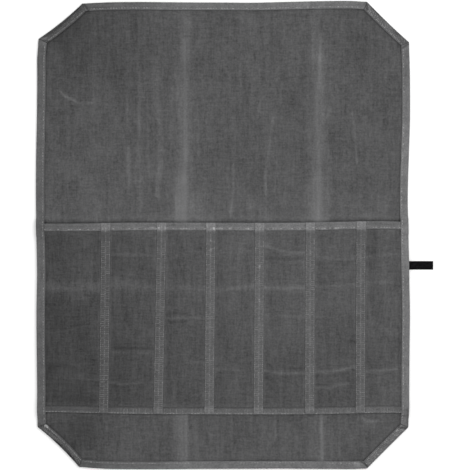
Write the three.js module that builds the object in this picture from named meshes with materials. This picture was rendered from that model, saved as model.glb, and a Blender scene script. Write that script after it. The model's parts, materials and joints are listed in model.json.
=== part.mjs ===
// Chef's knife roll of waxed canvas, untied and laid open, in millimetres with +Z up.
// The origin is at the middle of its underside, +Y runs to the flap's far edge and +X to the tab's side.
import * as THREE from 'three';

// The sheet and its cut corners
const rollWidth = 484;
const rollLength = 607;
const cornerCut = 54;

// Cloth and tapes
const canvasThickness = 1.2;
const tapeThickness = 1.0;
const tabThickness = 1.2;
const layerGap = 0.3;
const foldBevel = 0.4;

// Folded tape round the edges
const bindingWidth = 10;
const bindingLanding = 2;
const edgeRamp = 8;

// Pocket panel and its tapes
const pocketDepth = 248;
const footAboveCut = 18;
const pocketLift = 6;
const pocketEdgeInset = 1;
const mouthBindingWidth = 10;
const footBandWidth = 8.5;
const footBandOverhang = 0.6;
const dividerWidth = 12.4;
const seamSlack = 1.5;
const stepLanding = 2;
const stepRamp = 8;

// Black tab under the right edge
const tabWidth = 11;
const tabReach = 31;
const tabTuck = 9;
const tabBelowMouth = 55.5;
const tabRamp = 20;

// Folds that the rolled canvas has kept
const foldCrest = 1.2;
const foldWidth = 18;
const foldFade = 24;

// Fineness of the sheets
const stationStep = 34;
const cornerStations = [0, 0.5, 1];
const archSegments = 8;
const panelRowStep = 27;
const dividerStep = 48;
const plainParts = 2;
const outerShares = [0, 0.5];

// Each cut corner in shares of cornerCut: how far it runs across and along, how far the cut bows
// inwards, and how far its two ends lie inside the straight sides.
const corners = [
  { name: 'bl', across: 1.01, along: 1.01, bow: 0.036, endDip: 0.041, sideDip: 0.007 },
  { name: 'tl', across: 1.09, along: 0.89, bow: 0.031, endDip: 0.034, sideDip: 0.029 },
  { name: 'tr', across: 1.02, along: 0.97, bow: 0.015, endDip: -0.007, sideDip: 0.005 },
  { name: 'br', across: 1.02, along: 1.0, bow: 0.004, endDip: 0.005, sideDip: 0.022 },
];

// How far each long edge stands out past the straight line between its corners, going clockwise:
// left and right in shares of rollWidth, top and bottom in shares of rollLength.
const edgeWaves = [
  { at: 0, left: 0, top: 0, right: 0, bottom: 0 },
  { at: 0.05, left: 0.0007, top: 0.0012, right: 0.0004, bottom: 0.0008 },
  { at: 0.1, left: 0.0008, top: 0.0022, right: 0.0013, bottom: 0.0007 },
  { at: 0.2, left: 0.0022, top: 0.0024, right: 0.0015, bottom: 0.0005 },
  { at: 0.3, left: 0.003, top: 0.0015, right: -0.0015, bottom: 0.0004 },
  { at: 0.4, left: 0.0018, top: 0.0007, right: -0.0041, bottom: 0.0009 },
  { at: 0.5, left: 0.004, top: 0.0002, right: -0.0019, bottom: 0.0014 },
  { at: 0.6, left: 0.0057, top: -0.0005, right: 0.0004, bottom: 0.0022 },
  { at: 0.7, left: 0.0053, top: 0.0005, right: 0.0027, bottom: 0.0031 },
  { at: 0.8, left: 0.0036, top: 0.0016, right: 0.0018, bottom: 0.0036 },
  { at: 0.9, left: 0.0029, top: 0.0022, right: 0.0013, bottom: 0.0032 },
  { at: 0.95, left: 0.0031, top: 0.0018, right: 0.0013, bottom: 0.0018 },
  { at: 1, left: 0, top: 0, right: 0, bottom: 0 },
];

// The pocket panel's two seams across the roll, in shares of pocketDepth above the straight line.
const panelWaves = [
  { at: 0, mouth: -0.007, foot: 0.01 },
  { at: 0.12, mouth: -0.007, foot: 0.006 },
  { at: 0.24, mouth: 0, foot: 0.001 },
  { at: 0.7, mouth: 0, foot: 0 },
  { at: 0.82, mouth: 0.005, foot: 0.004 },
  { at: 0.92, mouth: 0.008, foot: 0.006 },
  { at: 1, mouth: 0.005, foot: 0.006 },
];

// Middle of each divider, in shares of rollWidth from the left side.
const dividers = [
  { mouth: 0.185, foot: 0.179 },
  { mouth: 0.335, foot: 0.325 },
  { mouth: 0.467, foot: 0.462 },
  { mouth: 0.598, foot: 0.594 },
  { mouth: 0.734, foot: 0.732 },
  { mouth: 0.87, foot: 0.868 },
];

// Places of the two kept folds, in shares of rollWidth from the left side.
const folds = [
  { top: 0.405, bottom: 0.396 },
  { top: 0.753, bottom: 0.758 },
];

const canvasCloth = new THREE.MeshStandardMaterial({ color: 0x575757, roughness: 0.85 });
const greyTape = new THREE.MeshStandardMaterial({ color: 0x6e6e6e, roughness: 0.8 });
const blackTape = new THREE.MeshStandardMaterial({ color: 0x151515, roughness: 0.75 });

const lerp = THREE.MathUtils.lerp;
const clamp = THREE.MathUtils.clamp;

// Smooth curve through one column of a table, read at a share between 0 and 1.
function readTable(rows, column) {
  const points = rows.map((row) => [row.at, row[column]]);
  return (at) => {
    const place = clamp(at, 0, 1);
    const k = clamp(points.findIndex(([x]) => x >= place), 1, points.length - 1);
    const [x0, y0] = points[k - 1];
    const [x1, y1] = points[k];
    const slope = (i) => {
      if (i <= 0 || i >= points.length - 1) return 0;
      return (points[i + 1][1] - points[i - 1][1]) / (points[i + 1][0] - points[i - 1][0]);
    };
    const t = (place - x0) / (x1 - x0);
    const reach = x1 - x0;
    return (
      y0 * (2 * t ** 3 - 3 * t ** 2 + 1) + slope(k - 1) * reach * (t ** 3 - 2 * t ** 2 + t) +
      y1 * (3 * t ** 2 - 2 * t ** 3) + slope(k) * reach * (t ** 3 - t ** 2)
    );
  };
}

// 1 within reach of a middle, falling in a straight line to 0 over the ramp.
function plateau(distance, reach, ramp) {
  return clamp((reach + ramp - Math.abs(distance)) / ramp, 0, 1);
}

// Outline: eight corner points taken clockwise from the left side's foot, and the eight edges between.
function cornerPoint(name, end) {
  const row = corners.find((entry) => entry.name === name);
  const sideX = name.endsWith('l') ? -1 : 1;
  const sideY = name.startsWith('b') ? -1 : 1;
  const inX = end === 'side' ? row.sideDip : row.across;
  const inY = end === 'side' ? row.along : row.endDip;
  return new THREE.Vector2(
    sideX * (rollWidth / 2 - inX * cornerCut),
    sideY * (rollLength / 2 - inY * cornerCut),
  );
}

function bow(name) {
  const depth = corners.find((entry) => entry.name === name).bow * cornerCut;
  return (at) => -depth * 4 * at * (1 - at);
}

function wave(column, size) {
  const read = readTable(edgeWaves, column);
  return (at) => size * read(at);
}

const edges = [
  { name: 'left', from: cornerPoint('bl', 'side'), out: wave('left', rollWidth) },
  { name: 'corner_tl', from: cornerPoint('tl', 'side'), out: bow('tl') },
  { name: 'top', from: cornerPoint('tl', 'end'), out: wave('top', rollLength) },
  { name: 'corner_tr', from: cornerPoint('tr', 'end'), out: bow('tr') },
  { name: 'right', from: cornerPoint('tr', 'side'), out: wave('right', rollWidth) },
  { name: 'corner_br', from: cornerPoint('br', 'side'), out: bow('br') },
  { name: 'bottom', from: cornerPoint('br', 'end'), out: wave('bottom', rollLength) },
  { name: 'corner_bl', from: cornerPoint('bl', 'end'), out: bow('bl') },
];
edges.forEach((edge, i) => {
  edge.to = edges[(i + 1) % edges.length].from;
  edge.along = edge.to.clone().sub(edge.from).normalize();
  edge.inward = new THREE.Vector2(edge.along.y, -edge.along.x);
  edge.length = edge.from.distanceTo(edge.to);
});
edges.forEach((edge, i) => {
  const last = edges[(i + edges.length - 1) % edges.length];
  const next = edges[(i + 1) % edges.length];
  edge.mitreFrom = Math.tan(Math.acos(last.along.dot(edge.along)) / 2);
  edge.mitreTo = Math.tan(Math.acos(edge.along.dot(next.along)) / 2);
});
const edgeNamed = Object.fromEntries(edges.map((edge) => [edge.name, edge]));

// Point at a share along an edge and a distance inside it. The two ends follow the mitre lines.
function outlinePoint(edge, at, inside, trim = 0) {
  let along = at * edge.length;
  if (at === 0) along = edge.mitreFrom * inside + trim;
  if (at === 1) along = edge.length - edge.mitreTo * inside - trim;
  const off = inside - edge.out(at);
  return [
    edge.from.x + edge.along.x * along + edge.inward.x * off,
    edge.from.y + edge.along.y * along + edge.inward.y * off,
  ];
}

// Levels of the layers
const tapeLayer = tapeThickness + layerGap;
const canvasLayer = canvasThickness + layerGap;
const landing = bindingWidth + bindingLanding;
const ringDistances = [landing + edgeRamp, landing, tapeLayer];
const shoulder = cornerCut * Math.max(...corners.map((row) => row.across)) + 1.5 * ringDistances[0];
const footLine = -rollLength / 2 + cornerCut + footAboveCut;
const mouthLine = footLine + pocketDepth;
const mouthReach = mouthBindingWidth + seamSlack;
const bandReach = footBandWidth + seamSlack;
const panelEdge = tapeLayer + pocketEdgeInset;
const tabHeight = mouthLine - tabBelowMouth;
const mouthRead = readTable(panelWaves, 'mouth');
const footRead = readTable(panelWaves, 'foot');

function widthShare(x) {
  return x / rollWidth + 0.5;
}

function mouthAt(x) {
  return mouthLine + pocketDepth * mouthRead(widthShare(x));
}

function footAt(x) {
  return footLine + pocketDepth * footRead(widthShare(x));
}

// Height of the canvas's underside over the tape that is folded beneath its edge, and over the tab.
function edgeLift(side, y, inside) {
  const ramp = clamp((landing + edgeRamp - inside) / edgeRamp, 0, 1);
  const overTab = side === 'right' ? tabThickness + layerGap : 0;
  const nearTab = plateau(y - tabHeight, tabWidth / 2 + stepLanding, tabRamp);
  return ramp * (tapeLayer + overTab * nearTab);
}

// Height of the pocket panel's underside over its folded tape, by the distance below the mouth.
function mouthLift(below) {
  return tapeLayer * clamp((mouthReach + stepRamp - below) / stepRamp, 0, 1);
}

// How much stands on the canvas where a long side's tape is folded over it.
function layersAtSide(x, y) {
  const mouth = mouthAt(x);
  const foot = footAt(x);
  const panel = plateau(y - (mouth + foot) / 2, (mouth - foot) / 2 + stepLanding, stepRamp);
  const hem = plateau(y - mouth + mouthBindingWidth / 2, mouthBindingWidth / 2 + stepLanding, stepRamp);
  const band = plateau(y - foot - footBandWidth / 2, footBandWidth / 2 + stepLanding, stepRamp);
  return panel * canvasLayer + hem * 2 * tapeLayer + band * tapeLayer;
}

// Closed sheet over a net of four-cornered faces, from its underside to its top side.
function sheetGeometry(places, faces, rim, underside, thickness) {
  const lower = places.map(([x, y], i) => [x, y, underside[i]]);
  const upper = places.map(([x, y], i) => [x, y, underside[i] + thickness]);
  const count = places.length;
  const index = [];
  for (const [a, b, c, d] of faces) {
    index.push(a + count, b + count, c + count, a + count, c + count, d + count);
    index.push(a, c, b, a, d, c);
  }
  rim.forEach((a, k) => {
    const b = rim[(k + 1) % rim.length];
    index.push(a, b, b + count, a, b + count, a + count);
  });
  const geometry = new THREE.BufferGeometry();
  geometry.setAttribute('position', new THREE.Float32BufferAttribute([...lower, ...upper].flat(), 3));
  geometry.setIndex(index);
  return geometry;
}

// Faces and rim of a rectangular net whose points are stored row by row, from the bottom left.
function netOf(columns, rows) {
  const faces = [];
  for (let row = 0; row < rows - 1; row += 1) {
    for (let column = 0; column < columns - 1; column += 1) {
      const a = row * columns + column;
      faces.push([a, a + 1, a + 1 + columns, a + columns]);
    }
  }
  const rim = [];
  for (let column = 0; column < columns - 1; column += 1) rim.push(column);
  for (let row = 0; row < rows - 1; row += 1) rim.push(row * columns + columns - 1);
  for (let column = columns - 1; column > 0; column -= 1) rim.push((rows - 1) * columns + column);
  for (let row = rows - 1; row > 0; row -= 1) rim.push(row * columns);
  return { faces, rim };
}

// Closed bar whose cross-section is carried through a row of stations.
function barGeometry(sections) {
  const sides = sections[0].length;
  const index = [];
  for (let k = 0; k < sections.length - 1; k += 1) {
    for (let i = 0; i < sides; i += 1) {
      const a = k * sides + i;
      const b = k * sides + ((i + 1) % sides);
      index.push(a, b, b + sides, a, b + sides, a + sides);
    }
  }
  const flat = sections[0].map(([, , , u, v]) => new THREE.Vector2(u, v));
  const end = (sections.length - 1) * sides;
  const clockwise = THREE.ShapeUtils.isClockWise(flat);
  for (const [a, b, c] of THREE.ShapeUtils.triangulateShape(flat, [])) {
    if (clockwise) index.push(a, b, c, a + end, c + end, b + end);
    else index.push(a, c, b, a + end, b + end, c + end);
  }
  const position = sections.flat().flatMap(([x, y, z]) => [x, y, z]);
  const geometry = new THREE.BufferGeometry();
  geometry.setAttribute('position', new THREE.Float32BufferAttribute(position, 3));
  geometry.setIndex(index);
  return geometry;
}

// Section of a tape folded round the edge of a cloth. Each corner is a distance in from the fold
// and a height measured down from the cloth's underside or up from what lies on it.
function foldedSection(width) {
  const bend = tapeLayer - foldBevel;
  return [
    { inside: width, below: tapeLayer },
    { inside: foldBevel, below: tapeLayer },
    { inside: 0, below: bend },
    { inside: 0, above: bend },
    { inside: foldBevel, above: tapeLayer },
    { inside: width, above: tapeLayer },
    { inside: width, above: layerGap },
    { inside: tapeThickness, above: layerGap },
    { inside: tapeThickness, below: layerGap },
    { inside: width, below: layerGap },
  ];
}

// Stations along an edge, as shares of it: even steps, and the places where layers begin and end.
function evenStations(length) {
  const steps = Math.max(2, Math.round(length / stationStep));
  return Array.from({ length: steps + 1 }, (_, k) => k / steps);
}

function tabHeights() {
  const reach = tabWidth / 2 + stepLanding;
  return [reach + tabRamp, reach, -reach, -reach - tabRamp].map((off) => tabHeight + off);
}

function sideHeights() {
  const heights = tabHeights();
  for (const x of [-rollWidth / 2, rollWidth / 2]) {
    for (const out of [stepLanding, stepLanding + stepRamp]) {
      heights.push(mouthAt(x) + out, mouthAt(x) - mouthBindingWidth - out);
      heights.push(footAt(x) + footBandWidth + out, footAt(x) - out);
    }
  }
  return heights;
}

function sideStations(edge) {
  const share = (y) => (y - edge.from.y) / (edge.to.y - edge.from.y);
  const mitre = ringDistances[0] * Math.max(edge.mitreFrom, edge.mitreTo) + stepLanding / 2;
  const isClear = (at) => at * edge.length > mitre && (1 - at) * edge.length > mitre;
  const kept = sideHeights().map(share).filter(isClear);
  const spread = evenStations(edge.length);
  const near = 0.4 * stationStep / edge.length;
  const extra = spread.filter((at) => kept.every((other) => Math.abs(other - at) > near));
  const merged = [...new Set([0, ...kept, ...extra, 1])].sort((a, b) => a - b);
  return merged.filter((at, k) => k === 0 || at === 1 || at - merged[k - 1] > 0.5 / edge.length);
}

const leftStations = sideStations(edgeNamed.left);
const rightStations = leftStations.map((at) => {
  const y = lerp(edgeNamed.left.from.y, edgeNamed.left.to.y, at);
  const { from, to } = edgeNamed.right;
  if (at === 0 || at === 1) return 1 - at;
  return (y - from.y) / (to.y - from.y);
}).reverse();

// Places of the columns across the middle of the sheet, where the kept folds lie.
function foldPlace(fold, y) {
  const share = clamp(y / rollLength + 0.5, 0, 1);
  return rollWidth * (lerp(fold.bottom, fold.top, share) - 0.5);
}

function middleColumns(y) {
  const inner = rollWidth / 2 - shoulder;
  const anchors = [-inner];
  for (const fold of folds) {
    const x = foldPlace(fold, y);
    anchors.push(x - foldWidth / 2, x, x + foldWidth / 2);
  }
  anchors.push(inner);
  const columns = [anchors[0]];
  for (let k = 1; k < anchors.length; k += 1) {
    const isFold = k > 1 && k < anchors.length - 1 && (k - 1) % 3 !== 0;
    const parts = isFold ? 1 : plainParts;
    for (let part = 1; part <= parts; part += 1) {
      columns.push(lerp(anchors[k - 1], anchors[k], part / parts));
    }
  }
  return columns;
}

const columnCount = middleColumns(0).length + 2 * outerShares.length;

// Height of the kept folds, which fade out at the edges and under the pocket panel.
function foldLift(x, y) {
  const top = rollLength / 2 - ringDistances[0];
  const onFlap = Math.min(y - mouthAt(x) - stepRamp, top - y);
  const onFoot = Math.min(footAt(x) - stepRamp - y, y + top);
  const fade = clamp(Math.max(onFlap, onFoot) / foldFade, 0, 1);
  const near = Math.max(...folds.map((fold) => 1 - Math.abs(x - foldPlace(fold, y)) / (foldWidth / 2)));
  return foldCrest * fade * clamp(near, 0, 1);
}

// Rows of the sheet inside its edge rings, each with the point where it meets the left and right.
function baseRows() {
  const inside = ringDistances[0];
  const walk = (list) => list.flatMap(([name, stations]) =>
    stations.map((at) => outlinePoint(edgeNamed[name], at, inside)));
  const left = walk([
    ['corner_bl', cornerStations.slice(0, -1)],
    ['left', leftStations],
    ['corner_tl', cornerStations.slice(1)],
  ]);
  const right = walk([
    ['corner_tr', cornerStations.slice(0, -1)],
    ['right', rightStations],
    ['corner_br', cornerStations.slice(1)],
  ]).reverse();
  return left.map((point, k) => ({ left: point, right: right[k] }));
}

function rowColumns(row) {
  const y = (row.left[1] + row.right[1]) / 2;
  const middle = middleColumns(y);
  const first = middle[0];
  const last = middle[middle.length - 1];
  return [
    ...outerShares.map((share) => lerp(row.left[0], first, share)),
    ...middle,
    ...outerShares.toReversed().map((share) => lerp(row.right[0], last, share)),
  ];
}

function bandStations(edge, row) {
  return rowColumns(row).map((x, k) => {
    if (k === 0) return edge.from.x < edge.to.x ? 0 : 1;
    if (k === columnCount - 1) return edge.from.x < edge.to.x ? 1 : 0;
    return (x - edge.from.x) / (edge.to.x - edge.from.x);
  });
}

const rows = baseRows();
const topStations = bandStations(edgeNamed.top, rows[rows.length - 1]);
const bottomStations = bandStations(edgeNamed.bottom, rows[0]).reverse();
const edgeStations = {
  left: leftStations,
  corner_tl: cornerStations,
  top: topStations,
  corner_tr: cornerStations,
  right: rightStations,
  corner_br: cornerStations,
  bottom: bottomStations,
  corner_bl: cornerStations,
};

function basePanel() {
  const places = [];
  const underside = [];
  const topEdge = topStations.map((at) => outlinePoint(edgeNamed.top, at, ringDistances[0]));
  const bottomEdge = bottomStations.map((at) => outlinePoint(edgeNamed.bottom, at, ringDistances[0]));
  bottomEdge.reverse();
  rows.forEach((row, j) => {
    const columns = rowColumns(row);
    columns.forEach((x, i) => {
      let point = [x, lerp(row.left[1], row.right[1], (x - row.left[0]) / (row.right[0] - row.left[0]))];
      if (i === 0) point = row.left;
      if (i === columnCount - 1) point = row.right;
      if (j === 0) point = bottomEdge[i];
      if (j === rows.length - 1) point = topEdge[i];
      const onRim = i === 0 || i === columnCount - 1 || j === 0 || j === rows.length - 1;
      places.push(point);
      underside.push(onRim ? 0 : foldLift(...point));
    });
  });
  const net = netOf(columnCount, rows.length);
  let rim = net.rim;
  for (const inside of ringDistances.slice(1)) {
    const start = places.length;
    const order = ['bottom', 'corner_br', 'right', 'corner_tr', 'top', 'corner_tl', 'left', 'corner_bl'];
    for (const name of order) {
      const stations = edgeStations[name].toReversed().slice(0, -1);
      for (const at of stations) {
        const point = outlinePoint(edgeNamed[name], at, inside);
        places.push(point);
        underside.push(edgeLift(name, point[1], inside));
      }
    }
    const ring = Array.from({ length: places.length - start }, (_, k) => start + k);
    rim.forEach((a, k) => {
      const next = (k + 1) % rim.length;
      net.faces.push([a, ring[k], ring[next], rim[next]]);
    });
    rim = ring;
  }
  return sheetGeometry(places, net.faces, rim, underside, canvasThickness);
}

// Tape folded round one edge of the sheet, mitred at both ends.
function edgeBinding(edge) {
  const isSide = edge.name === 'left' || edge.name === 'right';
  const sections = edgeStations[edge.name].map((at) =>
    foldedSection(bindingWidth).map(({ inside, below, above }) => {
      const [x, y] = outlinePoint(edge, at, inside, layerGap / 2);
      const level = outlinePoint(edge, at, 0)[1];
      const under = edgeLift(edge.name, level, 0);
      const layers = isSide ? layersAtSide(Math.sign(x) * rollWidth / 2, level) : 0;
      const z = below === undefined ? under + canvasThickness + layers + above : under - below;
      return [x, y, z, inside, z];
    }));
  return barGeometry(sections);
}

// Lines down the pocket panel, each giving its X at a height: along a side, or beside a divider.
function sideLine(edge, inside) {
  return (y) => outlinePoint(edge, (y - edge.from.y) / (edge.to.y - edge.from.y), inside)[0];
}

function dividerLine(divider, offset) {
  return (y) => {
    const share = clamp((mouthLine - y) / pocketDepth, 0, 1);
    return rollWidth * (lerp(divider.mouth, divider.foot, share) - 0.5) + offset;
  };
}

// Columns of the pocket panel: across the arch of each pocket, with a flat at each seam between.
function panelColumns() {
  const flatHalf = dividerWidth / 2 + stepLanding / 2;
  const seams = [
    sideLine(edgeNamed.left, landing),
    ...dividers.flatMap((divider) => [dividerLine(divider, -flatHalf), dividerLine(divider, flatHalf)]),
    sideLine(edgeNamed.right, landing),
  ];
  const columns = [{ place: sideLine(edgeNamed.left, panelEdge), arch: 0 }];
  for (let pocket = 0; pocket <= dividers.length; pocket += 1) {
    const from = seams[2 * pocket];
    const to = seams[2 * pocket + 1];
    for (let k = 0; k <= archSegments; k += 1) {
      const share = k / archSegments;
      const place = (y) => lerp(from(y), to(y), share);
      columns.push({ place, arch: Math.sin(Math.PI * share) ** 2 });
    }
  }
  columns.push({ place: sideLine(edgeNamed.right, panelEdge), arch: 0 });
  return columns;
}

const columnsOfPanel = panelColumns();

// Distance of a place inside the nearer long side, and which side that is.
function nearestSide(x, y) {
  const spans = [edgeNamed.left, edgeNamed.right].map((edge) => ({
    side: edge.name,
    inside: Math.abs(x - sideLine(edge, 0)(y)),
  }));
  return spans[0].inside < spans[1].inside ? spans[0] : spans[1];
}

// Height of the pocket panel's underside at a column and a distance below the mouth.
function panelUnderside(column, y, below) {
  const x = column.place(y);
  const { side, inside } = nearestSide(x, y);
  const archDepth = pocketDepth - bandReach;
  const fall = 1 - clamp(below / archDepth, 0, 1) ** 2;
  const rest = edgeLift(side, y, inside) + canvasLayer;
  return rest + mouthLift(below) + pocketLift * column.arch * fall;
}

function panelPlace(column, below) {
  const guess = column.place(mouthLine - below);
  const top = mouthAt(guess);
  const depth = top - footAt(guess);
  const y = top - below * (depth / pocketDepth);
  return [column.place(y), y];
}

function panelRows() {
  const first = mouthReach + stepRamp;
  const last = pocketDepth - bandReach;
  const steps = Math.max(3, Math.round((last - first) / panelRowStep));
  const even = Array.from({ length: steps + 1 }, (_, k) => lerp(first, last, k / steps));
  const edgeX = rollWidth / 2 - landing;
  const stretch = pocketDepth / (mouthAt(edgeX) - footAt(edgeX));
  const atTab = tabHeights().map((y) => (mouthAt(edgeX) - y) * stretch);
  const kept = atTab.filter((below) => below > first && below < last);
  const spread = even.filter((below, k) => {
    const isEnd = k === 0 || k === steps;
    return isEnd || kept.every((other) => Math.abs(other - below) > 0.6 * panelRowStep);
  });
  return [tapeLayer, mouthReach, ...[...kept, ...spread].sort((a, b) => a - b), pocketDepth];
}

function pocketPanel() {
  const places = [];
  const underside = [];
  const belows = panelRows().toReversed();
  for (const below of belows) {
    for (const column of columnsOfPanel) {
      const place = panelPlace(column, below);
      places.push(place);
      underside.push(panelUnderside(column, place[1], below));
    }
  }
  const net = netOf(columnsOfPanel.length, belows.length);
  return sheetGeometry(places, net.faces, net.rim, underside, canvasThickness);
}

// Tape folded round the pocket panel's mouth.
function mouthBinding() {
  const sections = columnsOfPanel.map((column) =>
    foldedSection(mouthBindingWidth).map(({ inside, below, above }) => {
      const [x, y] = panelPlace(column, inside);
      const level = panelUnderside(column, y, inside);
      const z = below === undefined ? level + canvasThickness + above : level - below;
      return [x, y, z, inside, z];
    }));
  return barGeometry(sections);
}

// Flat tape through stations that each give its two edges and the height of its underside.
function flatTape(stations, thickness) {
  const sections = stations.map(({ first, second, under }) => [
    [first[0], first[1], under, 0, 0],
    [second[0], second[1], under, 1, 0],
    [second[0], second[1], under + thickness, 1, 1],
    [first[0], first[1], under + thickness, 0, 1],
  ]);
  return barGeometry(sections);
}

function footBand() {
  const stations = columnsOfPanel.map((column) => {
    const first = panelPlace(column, pocketDepth + footBandOverhang);
    const second = panelPlace(column, pocketDepth - footBandWidth);
    const under = panelUnderside(column, second[1], pocketDepth) + canvasLayer;
    return { first, second, under };
  });
  return flatTape(stations, tapeThickness);
}

function dividerTape(number) {
  const start = 1 + number * (archSegments + 1) + archSegments;
  const before = columnsOfPanel[start];
  const after = columnsOfPanel[start + 1];
  const bandTop = pocketDepth - bandReach;
  const middle = (below) => {
    const a = panelPlace(before, below);
    const b = panelPlace(after, below);
    return [(a[0] + b[0]) / 2, (a[1] + b[1]) / 2];
  };
  const lift = (below) => {
    const overMouth = clamp((mouthReach + stepRamp - below) / stepRamp, 0, 1);
    const overBand = clamp((below - bandTop + stepRamp) / stepRamp, 0, 1);
    return tapeLayer * (overMouth + overBand);
  };
  const bend = [0, mouthReach, mouthReach + stepRamp, bandTop - stepRamp, bandTop, pocketDepth];
  const steps = Math.max(2, Math.round((bend[3] - bend[2]) / dividerStep));
  const even = Array.from({ length: steps - 1 }, (_, k) => lerp(bend[2], bend[3], (k + 1) / steps));
  const belows = [...bend.slice(0, 3), ...even, ...bend.slice(3)];
  const stations = belows.map((below) => {
    const [x, y] = middle(below);
    return {
      first: [x - dividerWidth / 2, y],
      second: [x + dividerWidth / 2, y],
      under: 2 * canvasLayer + mouthLift(below) + lift(below),
    };
  });
  return flatTape(stations, tapeThickness);
}

function sideTab() {
  const edge = edgeNamed.right;
  const at = (tabHeight - edge.from.y) / (edge.to.y - edge.from.y);
  const root = outlinePoint(edge, at, tabTuck)[0];
  const tip = outlinePoint(edge, at, -tabReach)[0];
  const geometry = new THREE.BoxGeometry(tip - root, tabWidth, tabThickness);
  geometry.translate((root + tip) / 2, tabHeight, tabThickness / 2);
  return geometry;
}

function piece(name, geometry, material) {
  const mesh = new THREE.Mesh(geometry, material);
  mesh.name = name;
  return mesh;
}

const knifeRoll = new THREE.Group();
knifeRoll.add(piece('base_panel', basePanel(), canvasCloth));
for (const edge of edges) knifeRoll.add(piece(`binding_${edge.name}`, edgeBinding(edge), greyTape));
knifeRoll.add(piece('pocket_panel', pocketPanel(), canvasCloth));
knifeRoll.add(piece('mouth_binding', mouthBinding(), greyTape));
knifeRoll.add(piece('foot_band', footBand(), greyTape));
dividers.forEach((_, number) => {
  knifeRoll.add(piece(`divider_${number + 1}`, dividerTape(number), greyTape));
});
knifeRoll.add(piece('side_tab', sideTab(), blackTape));

export default knifeRoll;
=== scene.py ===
"""The looks of a waxed canvas knife roll that lies open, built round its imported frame.

Lengths are in metres. The origin is under the middle of the roll, +Y runs to the flap's far
edge, +X to the side with the black tab and +Z up.
"""

import json
import math
from typing import NamedTuple

import bpy
import numpy as np
from bpy.props import FloatProperty, FloatVectorProperty, PointerProperty
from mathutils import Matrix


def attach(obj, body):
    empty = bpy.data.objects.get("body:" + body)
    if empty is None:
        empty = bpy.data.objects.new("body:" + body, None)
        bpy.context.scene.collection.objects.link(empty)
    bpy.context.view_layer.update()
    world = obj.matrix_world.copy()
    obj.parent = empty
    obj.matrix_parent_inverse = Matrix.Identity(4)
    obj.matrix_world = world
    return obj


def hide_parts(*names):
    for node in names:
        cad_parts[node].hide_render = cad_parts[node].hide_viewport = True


bl_info = {
    "name": "Canvas Knife Roll",
    "version": (1, 0, 0),
    "blender": (4, 5, 0),
    "location": "3D View > Sidebar > Knife Roll",
    "description": "Builds the cloth, tapes, stitches and stage of an opened canvas knife roll",
    "category": "Add Mesh",
}

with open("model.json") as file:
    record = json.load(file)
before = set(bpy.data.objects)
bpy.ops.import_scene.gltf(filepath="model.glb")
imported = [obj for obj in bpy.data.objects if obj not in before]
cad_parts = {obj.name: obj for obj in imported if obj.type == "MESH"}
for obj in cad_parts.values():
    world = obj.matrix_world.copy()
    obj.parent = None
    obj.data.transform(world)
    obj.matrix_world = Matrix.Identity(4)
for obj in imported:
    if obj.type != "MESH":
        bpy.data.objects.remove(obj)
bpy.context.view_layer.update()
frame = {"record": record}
SLOT_COLOURS = {row["slot"]: row["base_color"] for row in frame["record"]["materials"]}
BODY = "root"

# The photograph's frame: its side and the roll's middle in pixels, and what one pixel covers
PHOTO_SIDE = 470
PHOTO_MIDDLE = (223.25, 235.6)
PHOTO_PIXEL = 0.0013
# Where the camera looks in that frame, and the height of the tapes' tops, where its scale holds
AIM = (235.0, 235.2)
TAPE_TOPS = 0.0035


class Corner(NamedTuple):
    """A cut corner, in shares of the cut: its reach across and along, its bow, its ends' dips."""

    across: float
    along: float
    bow: float
    end_dip: float
    side_dip: float


CORNERS = {
    "bl": Corner(across=1.01, along=1.01, bow=0.036, end_dip=0.041, side_dip=0.007),
    "tl": Corner(across=1.09, along=0.89, bow=0.031, end_dip=0.034, side_dip=0.029),
    "tr": Corner(across=1.02, along=0.97, bow=0.015, end_dip=-0.007, side_dip=0.005),
    "br": Corner(across=1.02, along=1.0, bow=0.004, end_dip=0.005, side_dip=0.022),
}


class EdgeWave(NamedTuple):
    """How far the long edges stand out at a share of their run, clockwise, in shares of the
    sheet."""

    at: float
    left: float
    top: float
    right: float
    bottom: float


EDGE_WAVES = (
    EdgeWave(0, 0, 0, 0, 0),
    EdgeWave(0.05, 0.0007, 0.0012, 0.0015, 0.0012),
    EdgeWave(0.1, 0.0008, 0.0022, 0.0026, 0.0013),
    EdgeWave(0.2, 0.0022, 0.0024, 0.0028, 0.0012),
    EdgeWave(0.3, 0.003, 0.0015, -0.0002, 0.0011),
    EdgeWave(0.4, 0.0018, 0.0007, -0.0028, 0.0017),
    EdgeWave(0.5, 0.004, 0.0002, -0.001, 0.0022),
    EdgeWave(0.6, 0.0057, -0.0005, 0.001, 0.0027),
    EdgeWave(0.7, 0.0053, 0.0005, 0.0032, 0.0036),
    EdgeWave(0.8, 0.0036, 0.0016, 0.0023, 0.004),
    EdgeWave(0.9, 0.0029, 0.0022, 0.0019, 0.0036),
    EdgeWave(0.95, 0.0031, 0.0018, 0.0017, 0.0021),
    EdgeWave(1, 0, 0, 0, 0),
)


class PanelWave(NamedTuple):
    """The pocket panel's mouth and foot above a straight line, in shares of the pockets' depth."""

    at: float
    mouth: float
    foot: float


PANEL_WAVES = (
    PanelWave(0, -0.0045, 0.01),
    PanelWave(0.12, -0.0045, 0.006),
    PanelWave(0.24, 0, 0.001),
    PanelWave(0.4, 0, -0.002),
    PanelWave(0.7, 0, -0.0026),
    PanelWave(0.82, 0.005, 0.0014),
    PanelWave(0.92, 0.008, 0.0055),
    PanelWave(1, 0.005, 0.006),
)


class Divider(NamedTuple):
    """Middle of a divider at the mouth and the foot, in shares of the width from the left, and
    how light its tape is beside the others."""

    mouth: float
    foot: float
    light: float


class Strip(NamedTuple):
    """How light an edge tape is, with painted shade that darkens the strips at the left; how light
    its seam's line is, partly painted highlight; how dark the painted shade on its fold and the
    painted shadow on the cloth beside it; and its width as a share of the other tapes' width."""

    tone: float
    line: float
    fold: float
    beside: float
    width: float


# The tones are partly painted shade: the strips at the left, away from the lamp, are darker.
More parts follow.
